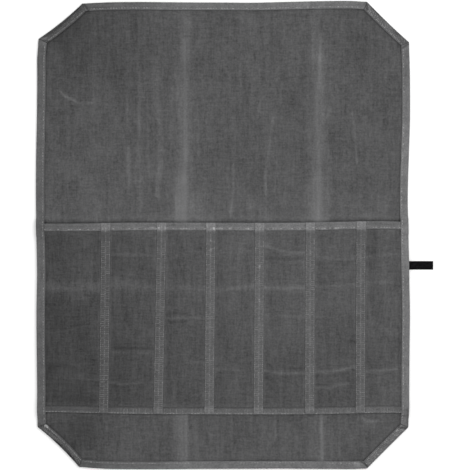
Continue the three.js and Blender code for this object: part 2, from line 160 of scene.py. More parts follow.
STRIPS = {
    "left": Strip(tone=0.68, line=0.1, fold=0.04, beside=0.12, width=1.1),
    "corner_tl": Strip(tone=0.38, line=0.4, fold=0.2, beside=0.18, width=1.07),
    "top": Strip(tone=0.82, line=0.08, fold=0.12, beside=0.12, width=1.0),
    "corner_tr": Strip(tone=0.6, line=0.1, fold=0.14, beside=0.22, width=1.0),
    "right": Strip(tone=0.97, line=0.08, fold=0.04, beside=0.12, width=1.03),
    "corner_br": Strip(tone=0.72, line=0.06, fold=0.12, beside=0.34, width=1.0),
    "bottom": Strip(tone=0.85, line=0.0, fold=0.12, beside=0.12, width=1.0),
    "corner_bl": Strip(tone=0.46, line=0.26, fold=0.2, beside=0.12, width=1.0),
}

DIVIDERS = (
    Divider(0.185, 0.179, 1.0),
    Divider(0.335, 0.325, 1.06),
    Divider(0.467, 0.462, 1.11),
    Divider(0.598, 0.594, 1.1),
    Divider(0.734, 0.732, 1.06),
    Divider(0.87, 0.868, 0.99),
)


class Fold(NamedTuple):
    """A fold that the rolled cloth has kept, in shares of the width at the top and the bottom."""

    top: float
    bottom: float


FOLDS = (Fold(0.405, 0.396), Fold(0.753, 0.758))


class Streak(NamedTuple):
    """A wax mark along a path, in the photograph's pixels. Light is above 0 where the wax has
    whitened and below 0 where it is dark, as a share of the cloth's own colour."""

    path: tuple
    half_width: float
    light: float


class Patch(NamedTuple):
    """A soft area: its middle and half sizes in the photograph's pixels, and its light."""

    middle: tuple
    reach: tuple
    light: float


class SoftLine(NamedTuple):
    """A soft line along an edge: how far it lies from it and its half width, in metres, and its
    light as a share of the piece's own colour."""

    away: float
    half_width: float
    light: float


# Marks of the two kept folds, from the flap's far edge down to the pockets
FOLD_STREAKS = (
    Streak(((184.5, 12), (184.5, 58)), 5.5, 0.3),
    Streak(((189.5, 14), (188, 44)), 2, 0.12),
    Streak(((184, 55), (184, 185)), 8.5, 0.24),
    Streak(((184.5, 40), (185, 90), (184, 182)), 2.4, 0.3),
    Streak(((182.5, 180), (183, 222)), 8, 0.5),
    Streak(((184.5, 150), (184.5, 222)), 2.6, 0.22),
    Streak(((176.5, 184), (176.5, 221)), 1.6, 0.16),
    Streak(((186, 96), (188, 221)), 17, 0.09),
    Streak(((178.5, 196), (179, 222)), 4.5, 0.2),
    Streak(((198, 196), (199, 222)), 6, 0.1),
    Streak(((194, 20), (193.5, 50)), 2.2, -0.06),
    Streak(((316, 12), (318, 56)), 7, 0.27),
    Streak(((311.5, 16), (313, 58)), 1.4, 0.18),
    Streak(((321, 34), (320, 60)), 1.2, 0.34),
    Streak(((320.5, 58), (319, 100), (318.5, 130), (318.5, 175)), 5.8, 0.34),
    Streak(((320.5, 60), (317, 100), (317.5, 135), (319.5, 170)), 1.8, 0.2),
    Streak(((317, 84), (316.6, 110), (316.8, 150)), 1.5, 0.12),
    Streak(((318, 96), (319, 221)), 13, 0.15),
    Streak(((316.5, 182), (317.5, 222)), 7.5, 0.46),
    Streak(((327, 198), (327, 220)), 4, 0.1),
    Streak(((318, 183), (318.5, 214)), 1.6, 0.16),
    Streak(((350, 14), (366, 60)), 9, -0.07),
)

# Thin marks on the flap
FLAP_STREAKS = (
    Streak(((139, 72), (139, 105), (138.5, 140), (139, 160)), 1.4, 0.3),
    Streak(((139, 118), (139, 138)), 1.1, 0.2),
    Streak(((128.5, 148), (129, 185)), 1.5, 0.36),
    Streak(((137, 150), (141, 180)), 2.4, 0.2),
    Streak(((141, 182), (139, 216)), 3.5, 0.23),
    Streak(((156.5, 58), (155.5, 100), (160.5, 128), (160, 165), (157, 196)), 3, 0.26),
    Streak(((153, 110), (156, 118), (160, 124)), 1.2, 0.26),
    Streak(((127, 100), (127.5, 130)), 1.1, 0.22),
    Streak(((118, 105), (118, 145)), 1.2, 0.08),
    Streak(((94, 20), (96, 44)), 3, 0.1),
    Streak(((156, 14), (154, 34)), 2, 0.08),
    Streak(((134, 14), (136, 52)), 3.5, -0.08),
    Streak(((250, 14), (251, 60), (253, 105)), 1.8, 0.12),
    Streak(((240, 62), (240, 95)), 1.2, 0.22),
    Streak(((264, 18), (266, 50)), 2.4, 0.06),
    Streak(((277, 20), (280, 60)), 4, -0.07),
    Streak(((278, 62), (278, 84)), 2, 0.12),
    Streak(((260, 100), (259, 112)), 1.2, 0.28),
    Streak(((273, 118), (269, 150), (265, 178), (266, 195)), 1.2, 0.26),
    Streak(((264.5, 172), (266.5, 190)), 1.1, 0.3),
    Streak(((233, 165), (233.5, 190), (230.5, 216)), 1.2, 0.38),
    Streak(((215, 192), (232, 191.5)), 1.0, 0.1),
    Streak(((231, 202), (230, 213)), 1.3, 0.3),
    Streak(((352.6, 112), (354.2, 132), (357.2, 163)), 1.1, 0.42),
    Streak(((60.5, 91.5), (63.5, 95.5), (75.5, 101.5)), 1.2, 0.8),
    Streak(((76, 103), (84, 103.5), (92, 102.5)), 1.1, 0.34),
    Streak(((133, 68), (133, 98)), 3.2, -0.14),
    Streak(((142.5, 74), (142.5, 100)), 2.4, 0.13),
    Streak(((56, 54), (56.5, 62)), 1.1, 0.26),
    Streak(((386, 64), (386, 84)), 1.5, 0.18),
    Streak(((341, 20), (341, 30)), 1.2, 0.16),
    Streak(((93, 60), (94.5, 110)), 2.2, 0.05),
    Streak(((70, 186), (66, 216)), 7, -0.08),
    Streak(((90, 178), (94, 218)), 7, 0.12),
    Streak(((110, 130), (112, 216)), 4, 0.07),
    Streak(((205, 90), (206, 215)), 5, 0.04),
    Streak(((212, 20), (211, 70)), 5, -0.06),
    Streak(((258, 196), (257, 218)), 3, -0.08),
    Streak(((380, 200), (386, 218)), 5, 0.1),
)

# Cracks across the pockets
POCKET_STREAKS = (
    Streak(((46, 287), (72, 288), (100, 286.5)), 5, 0.28),
    Streak(((74, 298), (90, 298.5)), 2, 0.12),
    Streak(((50, 378), (78, 378.5), (100, 380.5)), 1.3, 0.16),
    Streak(((46, 366), (74, 368)), 2, -0.08),
    Streak(((113, 254), (134, 254.5), (150, 255.5)), 1.4, 0.24),
    Streak(((110, 285), (132, 286), (152, 287)), 5.6, 0.27),
    Streak(((112, 283.5), (130, 284)), 1.3, 0.12),
    Streak(((112, 344), (152, 344.5)), 1.6, -0.1),
    Streak(((112, 348.3), (152, 348.8)), 1.4, -0.24),
    Streak(((114, 352.5), (132, 352.6), (152, 352.8)), 1.5, 0.2),
    Streak(((110, 382.5), (124, 384.5), (140, 383)), 1.3, 0.26),
    Streak(((110, 387), (126, 388)), 1.6, -0.14),
    Streak(((165, 287), (184, 288.5), (204, 290)), 4.5, 0.13),
    Streak(((180, 288), (204, 290)), 1.6, 0.14),
    Streak(((186, 252), (202, 253)), 1.3, 0.12),
    Streak(((186, 250), (202, 249)), 1.2, -0.1),
    Streak(((166, 314.5), (176, 313.5), (188, 313.5)), 1.3, -0.26),
    Streak(((166, 318.3), (190, 318), (208, 319.5)), 1.3, 0.2),
    Streak(((168, 322.2), (186, 322)), 1.3, -0.24),
    Streak(((188, 362), (204, 363)), 1.5, 0.2),
    Streak(((196, 394), (198, 396)), 0.9, 0.4),
    Streak(((214, 288), (234, 288), (254, 287)), 4.5, 0.12),
    Streak(((216, 291), (236, 288), (254, 286.5)), 1.6, 0.26),
    Streak(((215, 369), (235, 370), (254, 370)), 1.8, 0.16),
    Streak(((218, 254), (252, 251)), 1.6, 0.08),
    Streak(((224, 263), (252, 259)), 1.6, -0.08),
    Streak(((264, 288), (284, 288.8), (304, 288)), 4.5, 0.12),
    Streak(((263, 287.5), (284, 288.5), (304, 287.5)), 1.7, 0.36),
    Streak(((263, 245), (275, 249), (290, 253), (304, 253)), 1.5, 0.38),
    Streak(((264, 258.5), (304, 259)), 1.6, -0.14),
    Streak(((266, 315), (286, 316), (304, 317)), 1.8, 0.16),
    Streak(((264, 371), (276, 373), (290, 373.8), (304, 373)), 1.4, 0.42),
    Streak(((284, 369.2), (304, 368.8)), 1.2, -0.16),
    Streak(((266, 378.5), (304, 378)), 1.5, -0.12),
    Streak(((314, 256), (330, 258.5), (345, 259.5), (357, 257)), 1.7, 0.26),
    Streak(((316, 263), (345, 263.3), (356, 261)), 1.4, -0.16),
    Streak(((314, 286.5), (335, 286.5), (355, 285)), 1.8, 0.2),
    Streak(((316, 317), (334, 318)), 2, 0.08),
    Streak(((315, 372.5), (330, 372), (342, 370), (355, 367)), 1.4, 0.44),
    Streak(((316, 376.5), (332, 376), (346, 373.8)), 1.5, -0.14),
    Streak(((316, 388), (330, 388), (340, 384.5), (348, 383.5)), 1.3, 0.3),
    Streak(((366, 257), (384, 255.5), (397, 253)), 1.4, 0.26),
    Streak(((366, 282.5), (397, 281.5)), 1.4, 0.22),
    Streak(((384, 331), (397, 334)), 4, 0.14),
    Streak(((370, 322), (384, 330)), 3, 0.1),
    Streak(((366, 371.5), (380, 370.5), (397, 369)), 1.4, 0.38),
    Streak(((380, 383), (397, 384)), 1.6, -0.1),
)

# Marks on the strip below the pockets
FOOT_STREAKS = (
    Streak(((180.5, 412), (181, 461)), 6.5, 0.55),
    Streak(((186.2, 413), (186.6, 461)), 1.7, 0.34),
    Streak(((195, 416), (196, 458)), 4, 0.12),
    Streak(((319, 414), (320, 461)), 10, 0.22),
    Streak(((321.6, 413), (322.2, 461)), 1.6, 0.62),
    Streak(((330, 432), (345, 433)), 9, 0.06),
    Streak(((300, 440), (316, 450)), 10, 0.06),
    Streak(((123, 416), (125, 440)), 3, 0.06),
    Streak(((138, 416), (139, 458)), 3, 0.07),
    Streak(((128.5, 420), (130.5, 458)), 1.8, 0.1),
    Streak(((231.5, 414), (231.5, 430), (232, 458)), 1.4, 0.14),
    Streak(((274.5, 416), (276, 438)), 1.1, 0.38),
    Streak(((250, 452), (286, 452)), 5, 0.1),
    Streak(((364, 419), (371, 423)), 6, 0.16),
    Streak(((362, 417), (366, 421.5), (378, 421.5)), 1.2, 0.42),
    Streak(((104, 414), (104.5, 430)), 1.5, 0.1),
)

# Soft light and dark areas: painted shade on the far side from the light, a painted shadow above
# the pockets' mouth at the left, the pockets' feet and the rubbed flap
CLOTH_TONE_AND_PAINTED_SHADE = (
    Patch((157, 116), (7, 12), 0.08),
    Patch((72, 32), (44, 44), -0.32),
    Patch((70, 80), (50, 50), -0.1),
    Patch((130, 45), (36, 50), -0.12),
    Patch((360, 30), (30, 34), -0.14),
    Patch((110, 185), (70, 40), 0.06),
    Patch((270, 210), (140, 24), 0.14),
    Patch((76, 430), (30, 22), -0.42),
    Patch((130, 436), (40, 30), -0.06),
    Patch((60, 310), (40, 20), -0.06),
    Patch((60, 392), (40, 16), -0.02),
    Patch((290, 310), (80, 36), 0.05),
    Patch((388, 392), (18, 20), 0.12),
    Patch((262, 206), (60, 20), 0.05),
    Patch((238, 240), (14, 12), 0.12),
    Patch((186, 300), (16, 80), 0.06),
    Patch((66, 221), (30, 2.5), -0.14),
    Patch((184, 250), (16, 22), 0.07),
    Patch((184, 385), (16, 20), 0.05),
)


# Soft light and dark stretches of the tapes, partly painted shade that darkens them at the left,
# away from the light
TAPE_TONE_AND_PAINTED_SHADE = (
    Patch((40, 52), (10, 30), -0.2),
    Patch((40, 300), (10, 26), 0.1),
    Patch((40, 400), (10, 36), -0.1),
    Patch((92, 6), (34, 6), -0.3),
    Patch((140, 5), (20, 6), -0.1),
    Patch((183, 6), (14, 6), 0.14),
    Patch((300, 5), (46, 6), 0.18),
    Patch((405, 66), (8, 40), -0.24),
    Patch((404, 145), (8, 24), 0.1),
    Patch((403, 190), (8, 14), -0.08),
    Patch((404, 242), (8, 24), 0.16),
    Patch((404, 416), (8, 22), -0.14),
    Patch((84, 464), (26, 7), -0.4),
    Patch((130, 465), (34, 6), -0.14),
    Patch((183, 465), (14, 6), 0.18),
    Patch((290, 464), (50, 6), 0.12),
    Patch((58, 227), (46, 6), -0.23),
    Patch((276, 226), (30, 6), 0.12),
    Patch((388, 225), (24, 6), -0.15),
    Patch((44, 39), (8, 7), 0.3),
    Patch((76, 407), (28, 9), 0.2),
    Patch((127, 407), (24, 9), 0.05),
    Patch((235, 407), (60, 9), -0.05),
)

# Fine marks on the edge tapes: where one strip's end lies over the next, and crumpled spots
TAPE_STREAKS = (
    Streak(((83, 3.8), (85.5, 6.5), (88.5, 10.5)), 1.0, -0.5),
    Streak(((80.5, 5), (84, 9)), 1.5, 0.3),
    Streak(((44, 41), (49, 41.5)), 0.9, -0.36),
    Streak(((42, 39), (47, 38), (50.5, 39.3)), 1.2, 0.6),
    Streak(((45, 36.8), (55, 30.2), (63, 23.8), (71, 16.2), (79, 8)), 1.0, -0.55),
    Streak(((52, 38.5), (64, 28.6), (74, 20.3), (84, 11.6)), 1.0, 0.25),
    Streak(((38, 58), (39, 90), (38.5, 118)), 0.9, -0.12),
    Streak(((90, 3.6), (120, 3.0), (160, 3.0)), 1.0, -0.22),
    Streak(((90, 8), (120, 7.4)), 0.8, -0.14),
    Streak(((307, 2.5), (307.5, 7.5)), 0.8, 0.22),
    Streak(((311, 3), (311.5, 8)), 1.0, -0.16),
    Streak(((366.5, 2), (366.6, 9.5)), 1.0, -0.5),
    Streak(((369.6, 4), (369.8, 12.5)), 1.2, 0.4),
    Streak(((356, 5.2), (364, 5)), 0.9, -0.16),
    Streak(((372, 8), (376, 12), (381, 17)), 0.9, -0.5),
    Streak(((392, 29.5), (398, 35), (404, 41)), 0.8, -0.26),
    Streak(((370, 13), (380, 23), (390, 32.5), (402, 45)), 1.0, 0.22),
    Streak(((402.5, 48), (408.5, 44)), 0.9, -0.4),
    Streak(((404, 50.5), (408, 47.5)), 1.0, 0.26),
    Streak(((401, 409.5), (406.5, 409.7)), 0.7, -0.26),
    Streak(((401, 416), (406.5, 416)), 0.7, -0.26),
    Streak(((407.3, 408), (407.1, 427)), 0.7, -0.4),
    Streak(((399.5, 427.6), (406.5, 428.4)), 0.9, -0.5),
    Streak(((397, 430.3), (403, 430.3)), 1.2, 0.34),
    Streak(((352, 459.6), (359, 460.6), (364, 463.5), (368, 467)), 0.9, -0.6),
    Streak(((355, 463.5), (360, 464.5)), 2.2, 0.34),
    Streak(((40, 424), (42.5, 427), (46.5, 424)), 1.0, -0.4),
    Streak(((46, 425.8), (47.4, 427)), 1.1, 4),
    Streak(((48, 427.5), (54, 433), (60, 438.6)), 1.0, 0.36),
    Streak(((69, 448.6), (77.5, 457.5), (79, 462)), 1.1, 0.34),
    Streak(((42, 428.3), (49, 432.2), (56, 438.6)), 1.1, 0.34),
    Streak(((46, 428.6), (50, 431.8), (57, 437.4)), 0.8, -0.44),
    Streak(
        ((54, 440), (58, 443.2), (63, 447.2), (67, 451.4), (70.5, 455.5), (74, 460)), 1.0, -0.5),
    Streak(((56.5, 442.2), (61, 446)), 1.0, -0.4),
    Streak(((68, 453), (72.5, 458)), 1.0, -0.45),
    Streak(((159, 228.4), (159.6, 228.4)), 1.0, 0.7),
    Streak(((165.8, 228.4), (166.4, 228.6)), 1.1, 0.9),
    Streak(((151, 228), (154.5, 228.4)), 1.1, 0.5),
    Streak(((206.8, 224.6), (207.4, 226.4)), 1.1, 0.5),
    Streak(((213.6, 228.6), (214.8, 229.6)), 1.1, 0.9),
    Streak(((219, 228.8), (220.5, 228.8)), 1.3, 0.5),
    Streak(((229.8, 228.7), (231, 228.7)), 1.1, 0.9),
    Streak(((248, 228.8), (250, 229)), 1.2, 0.4),
    Streak(((258.5, 224.5), (262, 226.5), (266, 224.8)), 1.3, 0.26),
    Streak(((173, 225), (175, 225)), 1.0, -0.3),
    Streak(((222, 223.8), (232, 224.2)), 0.8, -0.2),
    Streak(((322, 229), (326, 228.8)), 1.0, 0.5),
    Streak(((259.7, 266.3), (260, 267)), 1.0, 0.8),
    Streak(((259.4, 300.4), (259.8, 301)), 1.0, 0.8),
    Streak(((314.6, 239.5), (315, 243.5)), 0.9, 0.55),
    Streak(((210.6, 240), (211, 241)), 0.9, 0.5),
    Streak(((211, 249.6), (211.4, 250.4)), 1.0, 0.6),
    Streak(((334, 229), (336, 229)), 1.0, 0.4),
)


# Faint light marks where the black tape is rubbed
TAB_STREAKS = (
    Streak(((410.5, 262), (411, 268)), 0.9, 0.5),
    Streak(((412.5, 267), (415.5, 264)), 1.1, 1.1),
    Streak(((416, 266.6), (424, 266.4)), 0.8, 1.0),
    Streak(((416, 264), (422, 263.8)), 0.8, 0.4),
    Streak(((425, 264.6), (431, 264.6)), 1.3, 0.7),
)

# Painted shade on the pockets at the left edge, on the side away from the lamp: how much darker
# they are there, and from where to where in the photograph's columns the painted shade fades away
LEFT_PAINTED_SHADE = 0.35
LEFT_FADE_FROM = 40
LEFT_FADE_TO = 240

# Soft lines of painted light and shade on the canvas: painted shade inside three of the cut
# corners, a painted shadow above the pockets' mouth with painted light past it, and painted light
# below their foot, below the mouth's tape, above the foot's tape, and beside a divider, where the
# canvas is lighter still next to the bare tape near the mouth; the painted light lifts the shade
# of the steps there
CORNER_PAINTED_SHADES = {
    "corner_tl": SoftLine(0.012, 0.006, -0.14),
    "corner_tr": SoftLine(0.012, 0.006, -0.12),
    "corner_bl": SoftLine(0.012, 0.006, -0.08),
}
PAINTED_SHADOW_AND_LIGHT_ABOVE_MOUTH = (
    SoftLine(0.0008, 0.0014, -0.42),
    SoftLine(0.006, 0.004, 0.24),
    SoftLine(0.0015, 0.016, 0.08),
)
PAINTED_LIGHT_BELOW_FOOT = SoftLine(0, 0.0026, 0.16)
PAINTED_LIGHT_BELOW_HEM = SoftLine(0, 0.0035, 0.14)
PAINTED_LIGHT_ABOVE_BAND = SoftLine(0, 0.004, 0.3)
PAINTED_LIGHT_BESIDE_DIVIDER = SoftLine(0, 0.0018, 0.4)
PAINTED_LIGHT_BESIDE_BARE_TAPE = SoftLine(0, 0.0018, 0.36)

# The painted shadow line where the canvas runs under an edge's tape: its place and half width
TAPE_SHADOW_AWAY = 0.0004
TAPE_SHADOW_HALF_WIDTH = 0.0014

# How far inside the edges the cracks in the wax begin to stand up
CRACKS_FROM = 0.012

# The three rows of a ladder seam, from the divider's middle, and the tape's light along them
LADDER = (
    SoftLine(-0.0053, 0.0015, 0.12),
    SoftLine(0.0, 0.0015, 0.16),
    SoftLine(0.005, 0.0015, 0.1),
)

# How light the tapes are over the pockets: round the mouth, over the foot and on a divider. The
# foot's is darker along its upper edge, and a divider's is lighter over either of the others.
HEM_TONE = 0.88
BAND_TONE = 0.67
BAND_TOP_SHADE = 0.22
DIVIDER_TONE = 0.55
OVER_HEM_LIGHT = 0.45
OVER_BAND_LIGHT = 0.22

# Length in which a divider's light changes
TONE_RAMP = 0.002

# How much darker the pockets are at their foot than at their mouth
FOOT_SHADE = 0.14

# How light the ladders' threads are beside other threads, and how uneven
ROW_LIGHT = 0.68
RUNG_LIGHT = 0.5
TACK_LIGHT = 1.1
LADDER_UNEVEN = 0.45

# Where the two rows of tacks cross a divider's upper end, as distances below the mouth
TACKS_BELOW = (0.0066, 0.0082)

# Where the foot tape's seam and the ends of its rungs run, as distances above the pockets' foot
FOOT_ROWS = (0.0004, 0.007)

# Further rows of stitches on a cut corner's tape: from its inner edge, and twice past its seam
CORNER_INNER_ROW = 0.0008
CORNER_OUTER_ROW = 0.0028
CORNER_FOLD_ROW = 0.006

# Share of a ladder's rungs that show, and how far each end may lie off its row
RUNGS_SHOWN = 0.8
RUNG_SWAY = 0.0005


class SheetSizes(bpy.types.PropertyGroup):
    """The canvas sheet, its cut corners and the folds that it has kept"""

    width: FloatProperty(
        name="Width", description="Width of the opened roll", default=0.484, unit="LENGTH")
    length: FloatProperty(
        name="Length", description="Length of the opened roll", default=0.607, unit="LENGTH")
    corner_cut: FloatProperty(
        name="Corner cut", description="Size of the cut corners", default=0.054, unit="LENGTH")
    thickness: FloatProperty(
        name="Canvas", description="Thickness of the waxed canvas", default=0.0012, unit="LENGTH")
    layer_gap: FloatProperty(
        name="Layer gap", description="Room between sewn layers", default=0.0003, unit="LENGTH")
    fold_crest: FloatProperty(
        name="Fold crest", description="Height of the kept folds", default=0.0012, unit="LENGTH")
    fold_width: FloatProperty(
        name="Fold width", description="Width of the kept folds", default=0.018, unit="LENGTH")
    fold_fade: FloatProperty(
        name="Fold fade", description="Length in which a fold dies away", default=0.024,
        unit="LENGTH")
    pitch: FloatProperty(
        name="Mesh pitch", description="Distance between the cloth's points", default=0.0015,
        unit="LENGTH")
    crack_relief: FloatProperty(
        name="Crack relief", description="Height of the cracks in the wax", default=0.00035,
        unit="LENGTH")


class TapeSizes(bpy.types.PropertyGroup):
    """The tapes that are folded round the edges and sewn over the seams"""

    thickness: FloatProperty(
        name="Tape", description="Thickness of the woven tape", default=0.001, unit="LENGTH")
    binding_width: FloatProperty(
        name="Binding width", description="Width of the folded edge tape", default=0.01,
        unit="LENGTH")
    binding_landing: FloatProperty(
        name="Landing", description="Flat cloth beside the edge tape", default=0.002,
        unit="LENGTH")
    edge_ramp: FloatProperty(
        name="Edge ramp", description="Slope of the cloth beside the landing", default=0.008,
        unit="LENGTH")
    mouth_width: FloatProperty(
        name="Mouth width", description="Width of the tape round the pockets' mouth", default=0.01,
        unit="LENGTH")
    foot_width: FloatProperty(
        name="Foot width", description="Width of the tape over the pockets' foot", default=0.0085,
        unit="LENGTH")
    foot_overhang: FloatProperty(
        name="Foot overhang", description="Reach of that tape past the pocket cloth",
        default=0.0006, unit="LENGTH")
    divider_width: FloatProperty(
        name="Divider width", description="Width of the tapes between pockets", default=0.0124,
        unit="LENGTH")
    crown: FloatProperty(
        name="Crown", description="How far a tape's middle stands up", default=0.00025,
        unit="LENGTH")
    groove: FloatProperty(
        name="Groove", description="How far a seam pulls a tape down", default=0.0003,
        unit="LENGTH")


class PocketSizes(bpy.types.PropertyGroup):
    """The pocket panel and how it rises between its seams"""

    depth: FloatProperty(
        name="Depth", description="Depth of the pockets", default=0.248, unit="LENGTH")
    foot_above_cut: FloatProperty(
        name="Foot above cut", description="From the cut corners up to the pockets' foot",
        default=0.018, unit="LENGTH")
    lift: FloatProperty(
        name="Lift", description="How far a pocket's mouth stands open", default=0.006,
        unit="LENGTH")
    edge_inset: FloatProperty(
        name="Edge inset", description="From the sheet's edge to the panel's", default=0.001,
        unit="LENGTH")
    seam_slack: FloatProperty(
        name="Seam slack", description="Flat cloth past a tape across the roll", default=0.0015,
        unit="LENGTH")
    step_landing: FloatProperty(
        name="Step landing", description="Flat cloth beside a tape along a seam", default=0.002,
        unit="LENGTH")
    step_ramp: FloatProperty(
        name="Step ramp", description="Slope of a layer that steps over another", default=0.008,
        unit="LENGTH")


class TabSizes(bpy.types.PropertyGroup):
    """The short black tab under the right edge"""

    width: FloatProperty(
        name="Width", description="Width of the tab", default=0.011, unit="LENGTH")
    thickness: FloatProperty(
        name="Thickness", description="Thickness of the tab", default=0.0012, unit="LENGTH")
    reach: FloatProperty(
        name="Reach", description="How far the tab stands out", default=0.0317, unit="LENGTH")
    tuck: FloatProperty(
        name="Tuck", description="How far the tab goes under the edge", default=0.009,
        unit="LENGTH")
    below_mouth: FloatProperty(
        name="Below mouth", description="From the pockets' mouth down to the tab", default=0.0555,
        unit="LENGTH")
    ramp: FloatProperty(
        name="Ramp", description="Length in which the edge rises over the tab", default=0.02,
        unit="LENGTH")


class StitchSizes(bpy.types.PropertyGroup):
    """The sewing threads"""

    thread: FloatProperty(
        name="Thread", description="Thickness of the sewing thread", default=0.0008, unit="LENGTH")
    seam_pitch: FloatProperty(
        name="Seam pitch", description="From stitch to stitch along an edge", default=0.0036,
        unit="LENGTH")
    seam_inset: FloatProperty(
        name="Seam inset", description="From a tape's inner edge to its seam", default=0.0021,
        unit="LENGTH")
    ladder_pitch: FloatProperty(
        name="Ladder pitch", description="From rung to rung on a divider", default=0.0027,
        unit="LENGTH")
    foot_pitch: FloatProperty(
        name="Foot pitch", description="From rung to rung on the foot tape", default=0.004,
        unit="LENGTH")
    ladder_start: FloatProperty(
        name="Ladder start", description="From the mouth down to the full ladder", default=0.0235,
        unit="LENGTH")


class ClothColours(bpy.types.PropertyGroup):
    """Colours of the cloth, tapes and threads, without the light that falls on them"""

    canvas: FloatVectorProperty(
        name="Canvas", description="Waxed canvas", default=SLOT_COLOURS["canvas"],
        subtype="COLOR", min=0, max=1)
    tape: FloatVectorProperty(
        name="Tape", description="Woven edge and seam tape", default=SLOT_COLOURS["tape"],
        subtype="COLOR", min=0, max=1)
    thread: FloatVectorProperty(
        name="Thread", description="Sewing thread", default=(0.27, 0.27, 0.27),
        subtype="COLOR", min=0, max=1)
    tab: FloatVectorProperty(
        name="Tab", description="Black tape", default=SLOT_COLOURS["black_tape"],
        subtype="COLOR", min=0, max=1)


class StageSettings(bpy.types.PropertyGroup):
    """The floor, the light and the camera"""

    floor_colour: FloatVectorProperty(
        name="Floor", description="Pale floor", default=(0.95, 0.95, 0.95), subtype="COLOR",
        min=0, max=1)
    floor_side: FloatProperty(
        name="Floor side", description="Side of the square floor", default=8.0, unit="LENGTH")
    sky: FloatProperty(
        name="Sky", description="Strength of the even light from all round", default=0.97, min=0)
    lamp_power: FloatProperty(
        name="Lamp power", description="Power of the soft lamp", default=14.0, unit="POWER")
    lamp_side: FloatProperty(
        name="Lamp side", description="Side of the square soft lamp", default=1.2, unit="LENGTH")
    lamp_place: FloatVectorProperty(
        name="Lamp place", description="Where the soft lamp hangs", default=(0.75, 0.75, 1.6),
        subtype="TRANSLATION")
    lens: FloatProperty(
        name="Lens", description="Focal length in millimetres", default=100.0, min=1)
    sensor: FloatProperty(
        name="Sensor", description="Width of the camera's sensor in millimetres", default=36.0,
        min=1)


class KnifeRollSettings(bpy.types.PropertyGroup):
    """All the settings of the knife roll"""

    sheet: PointerProperty(type=SheetSizes)
    tape: PointerProperty(type=TapeSizes)
    pocket: PointerProperty(type=PocketSizes)
    tab: PointerProperty(type=TabSizes)
    stitch: PointerProperty(type=StitchSizes)
    colours: PointerProperty(type=ClothColours)
    stage: PointerProperty(type=StageSettings)


def lerp(start, end, share):
    """Value at a share of the way from start to end."""
    return start + (end - start) * share


def ease(share):
    """Share from 0 to 1 that starts and ends gently."""
    share = np.clip(share, 0, 1)
    return share * share * (3 - 2 * share)


def plateau(distance, reach, ramp):
    """1 within reach of a middle, easing to 0 over the ramp."""
    return ease((reach + ramp - np.abs(distance)) / ramp)


def bell(distance, half_width):
    """1 at a middle, falling off on both sides like a bell."""
    return np.exp(-np.square(distance / half_width))


def read_table(rows, column):
    """Smooth curve through one column of a table, read at shares between 0 and 1."""
    at = np.array([row.at for row in rows], float)
    value = np.array([getattr(row, column) for row in rows], float)
    slope = np.zeros(len(at))
    slope[1:-1] = (value[2:] - value[:-2]) / (at[2:] - at[:-2])

    def read(share):
        share = np.clip(share, 0, 1)
        k = np.clip(np.searchsorted(at, share), 1, len(at) - 1)
        reach = at[k] - at[k - 1]
        t = (share - at[k - 1]) / reach
        rise = t * t * (3 - 2 * t)
        leave = t * (1 - t) ** 2 * slope[k - 1]
        arrive = t * t * (t - 1) * slope[k]
        return lerp(value[k - 1], value[k], rise) + reach * (leave + arrive)

    return read


class Edge:
    """One of the outline's eight edges, clockwise, and how far it stands out past its chord."""

    def __init__(self, name, start, end, out):
        self.name = name
        self.start = start
        self.end = end
        self.out = out
        self.length = math.dist(start, end)
        self.along = (end - start) / self.length
        self.inward = np.array([self.along[1], -self.along[0]])
        self.mitre_from = 0.0
        self.mitre_to = 0.0

    def point(self, at, inside, trim=0.0):
        """X and Y at shares of the edge and distances inside it, between its two mitre lines."""
        first = self.mitre_from * inside + trim
        run = lerp(first, self.length - self.mitre_to * inside - trim, at)
        off = inside - self.out(run / self.length)
        x = self.start[0] + self.along[0] * run + self.inward[0] * off
        y = self.start[1] + self.along[1] * run + self.inward[1] * off
        return x, y

    def side_x(self, y, inside):
        """X at a height on a long side, at a distance inside it."""
        at = (y - self.start[1]) / (self.end[1] - self.start[1])
        off = inside - self.out(at)
        return self.start[0] + self.along[0] * at * self.length + self.inward[0] * off

    def inside(self, x, y):
        """Distance of places inside the edge."""
        from_x = x - self.start[0]
        from_y = y - self.start[1]
        run = self.along[0] * from_x + self.along[1] * from_y
        off = self.inward[0] * from_x + self.inward[1] * from_y
        return off + self.out(run / self.length)


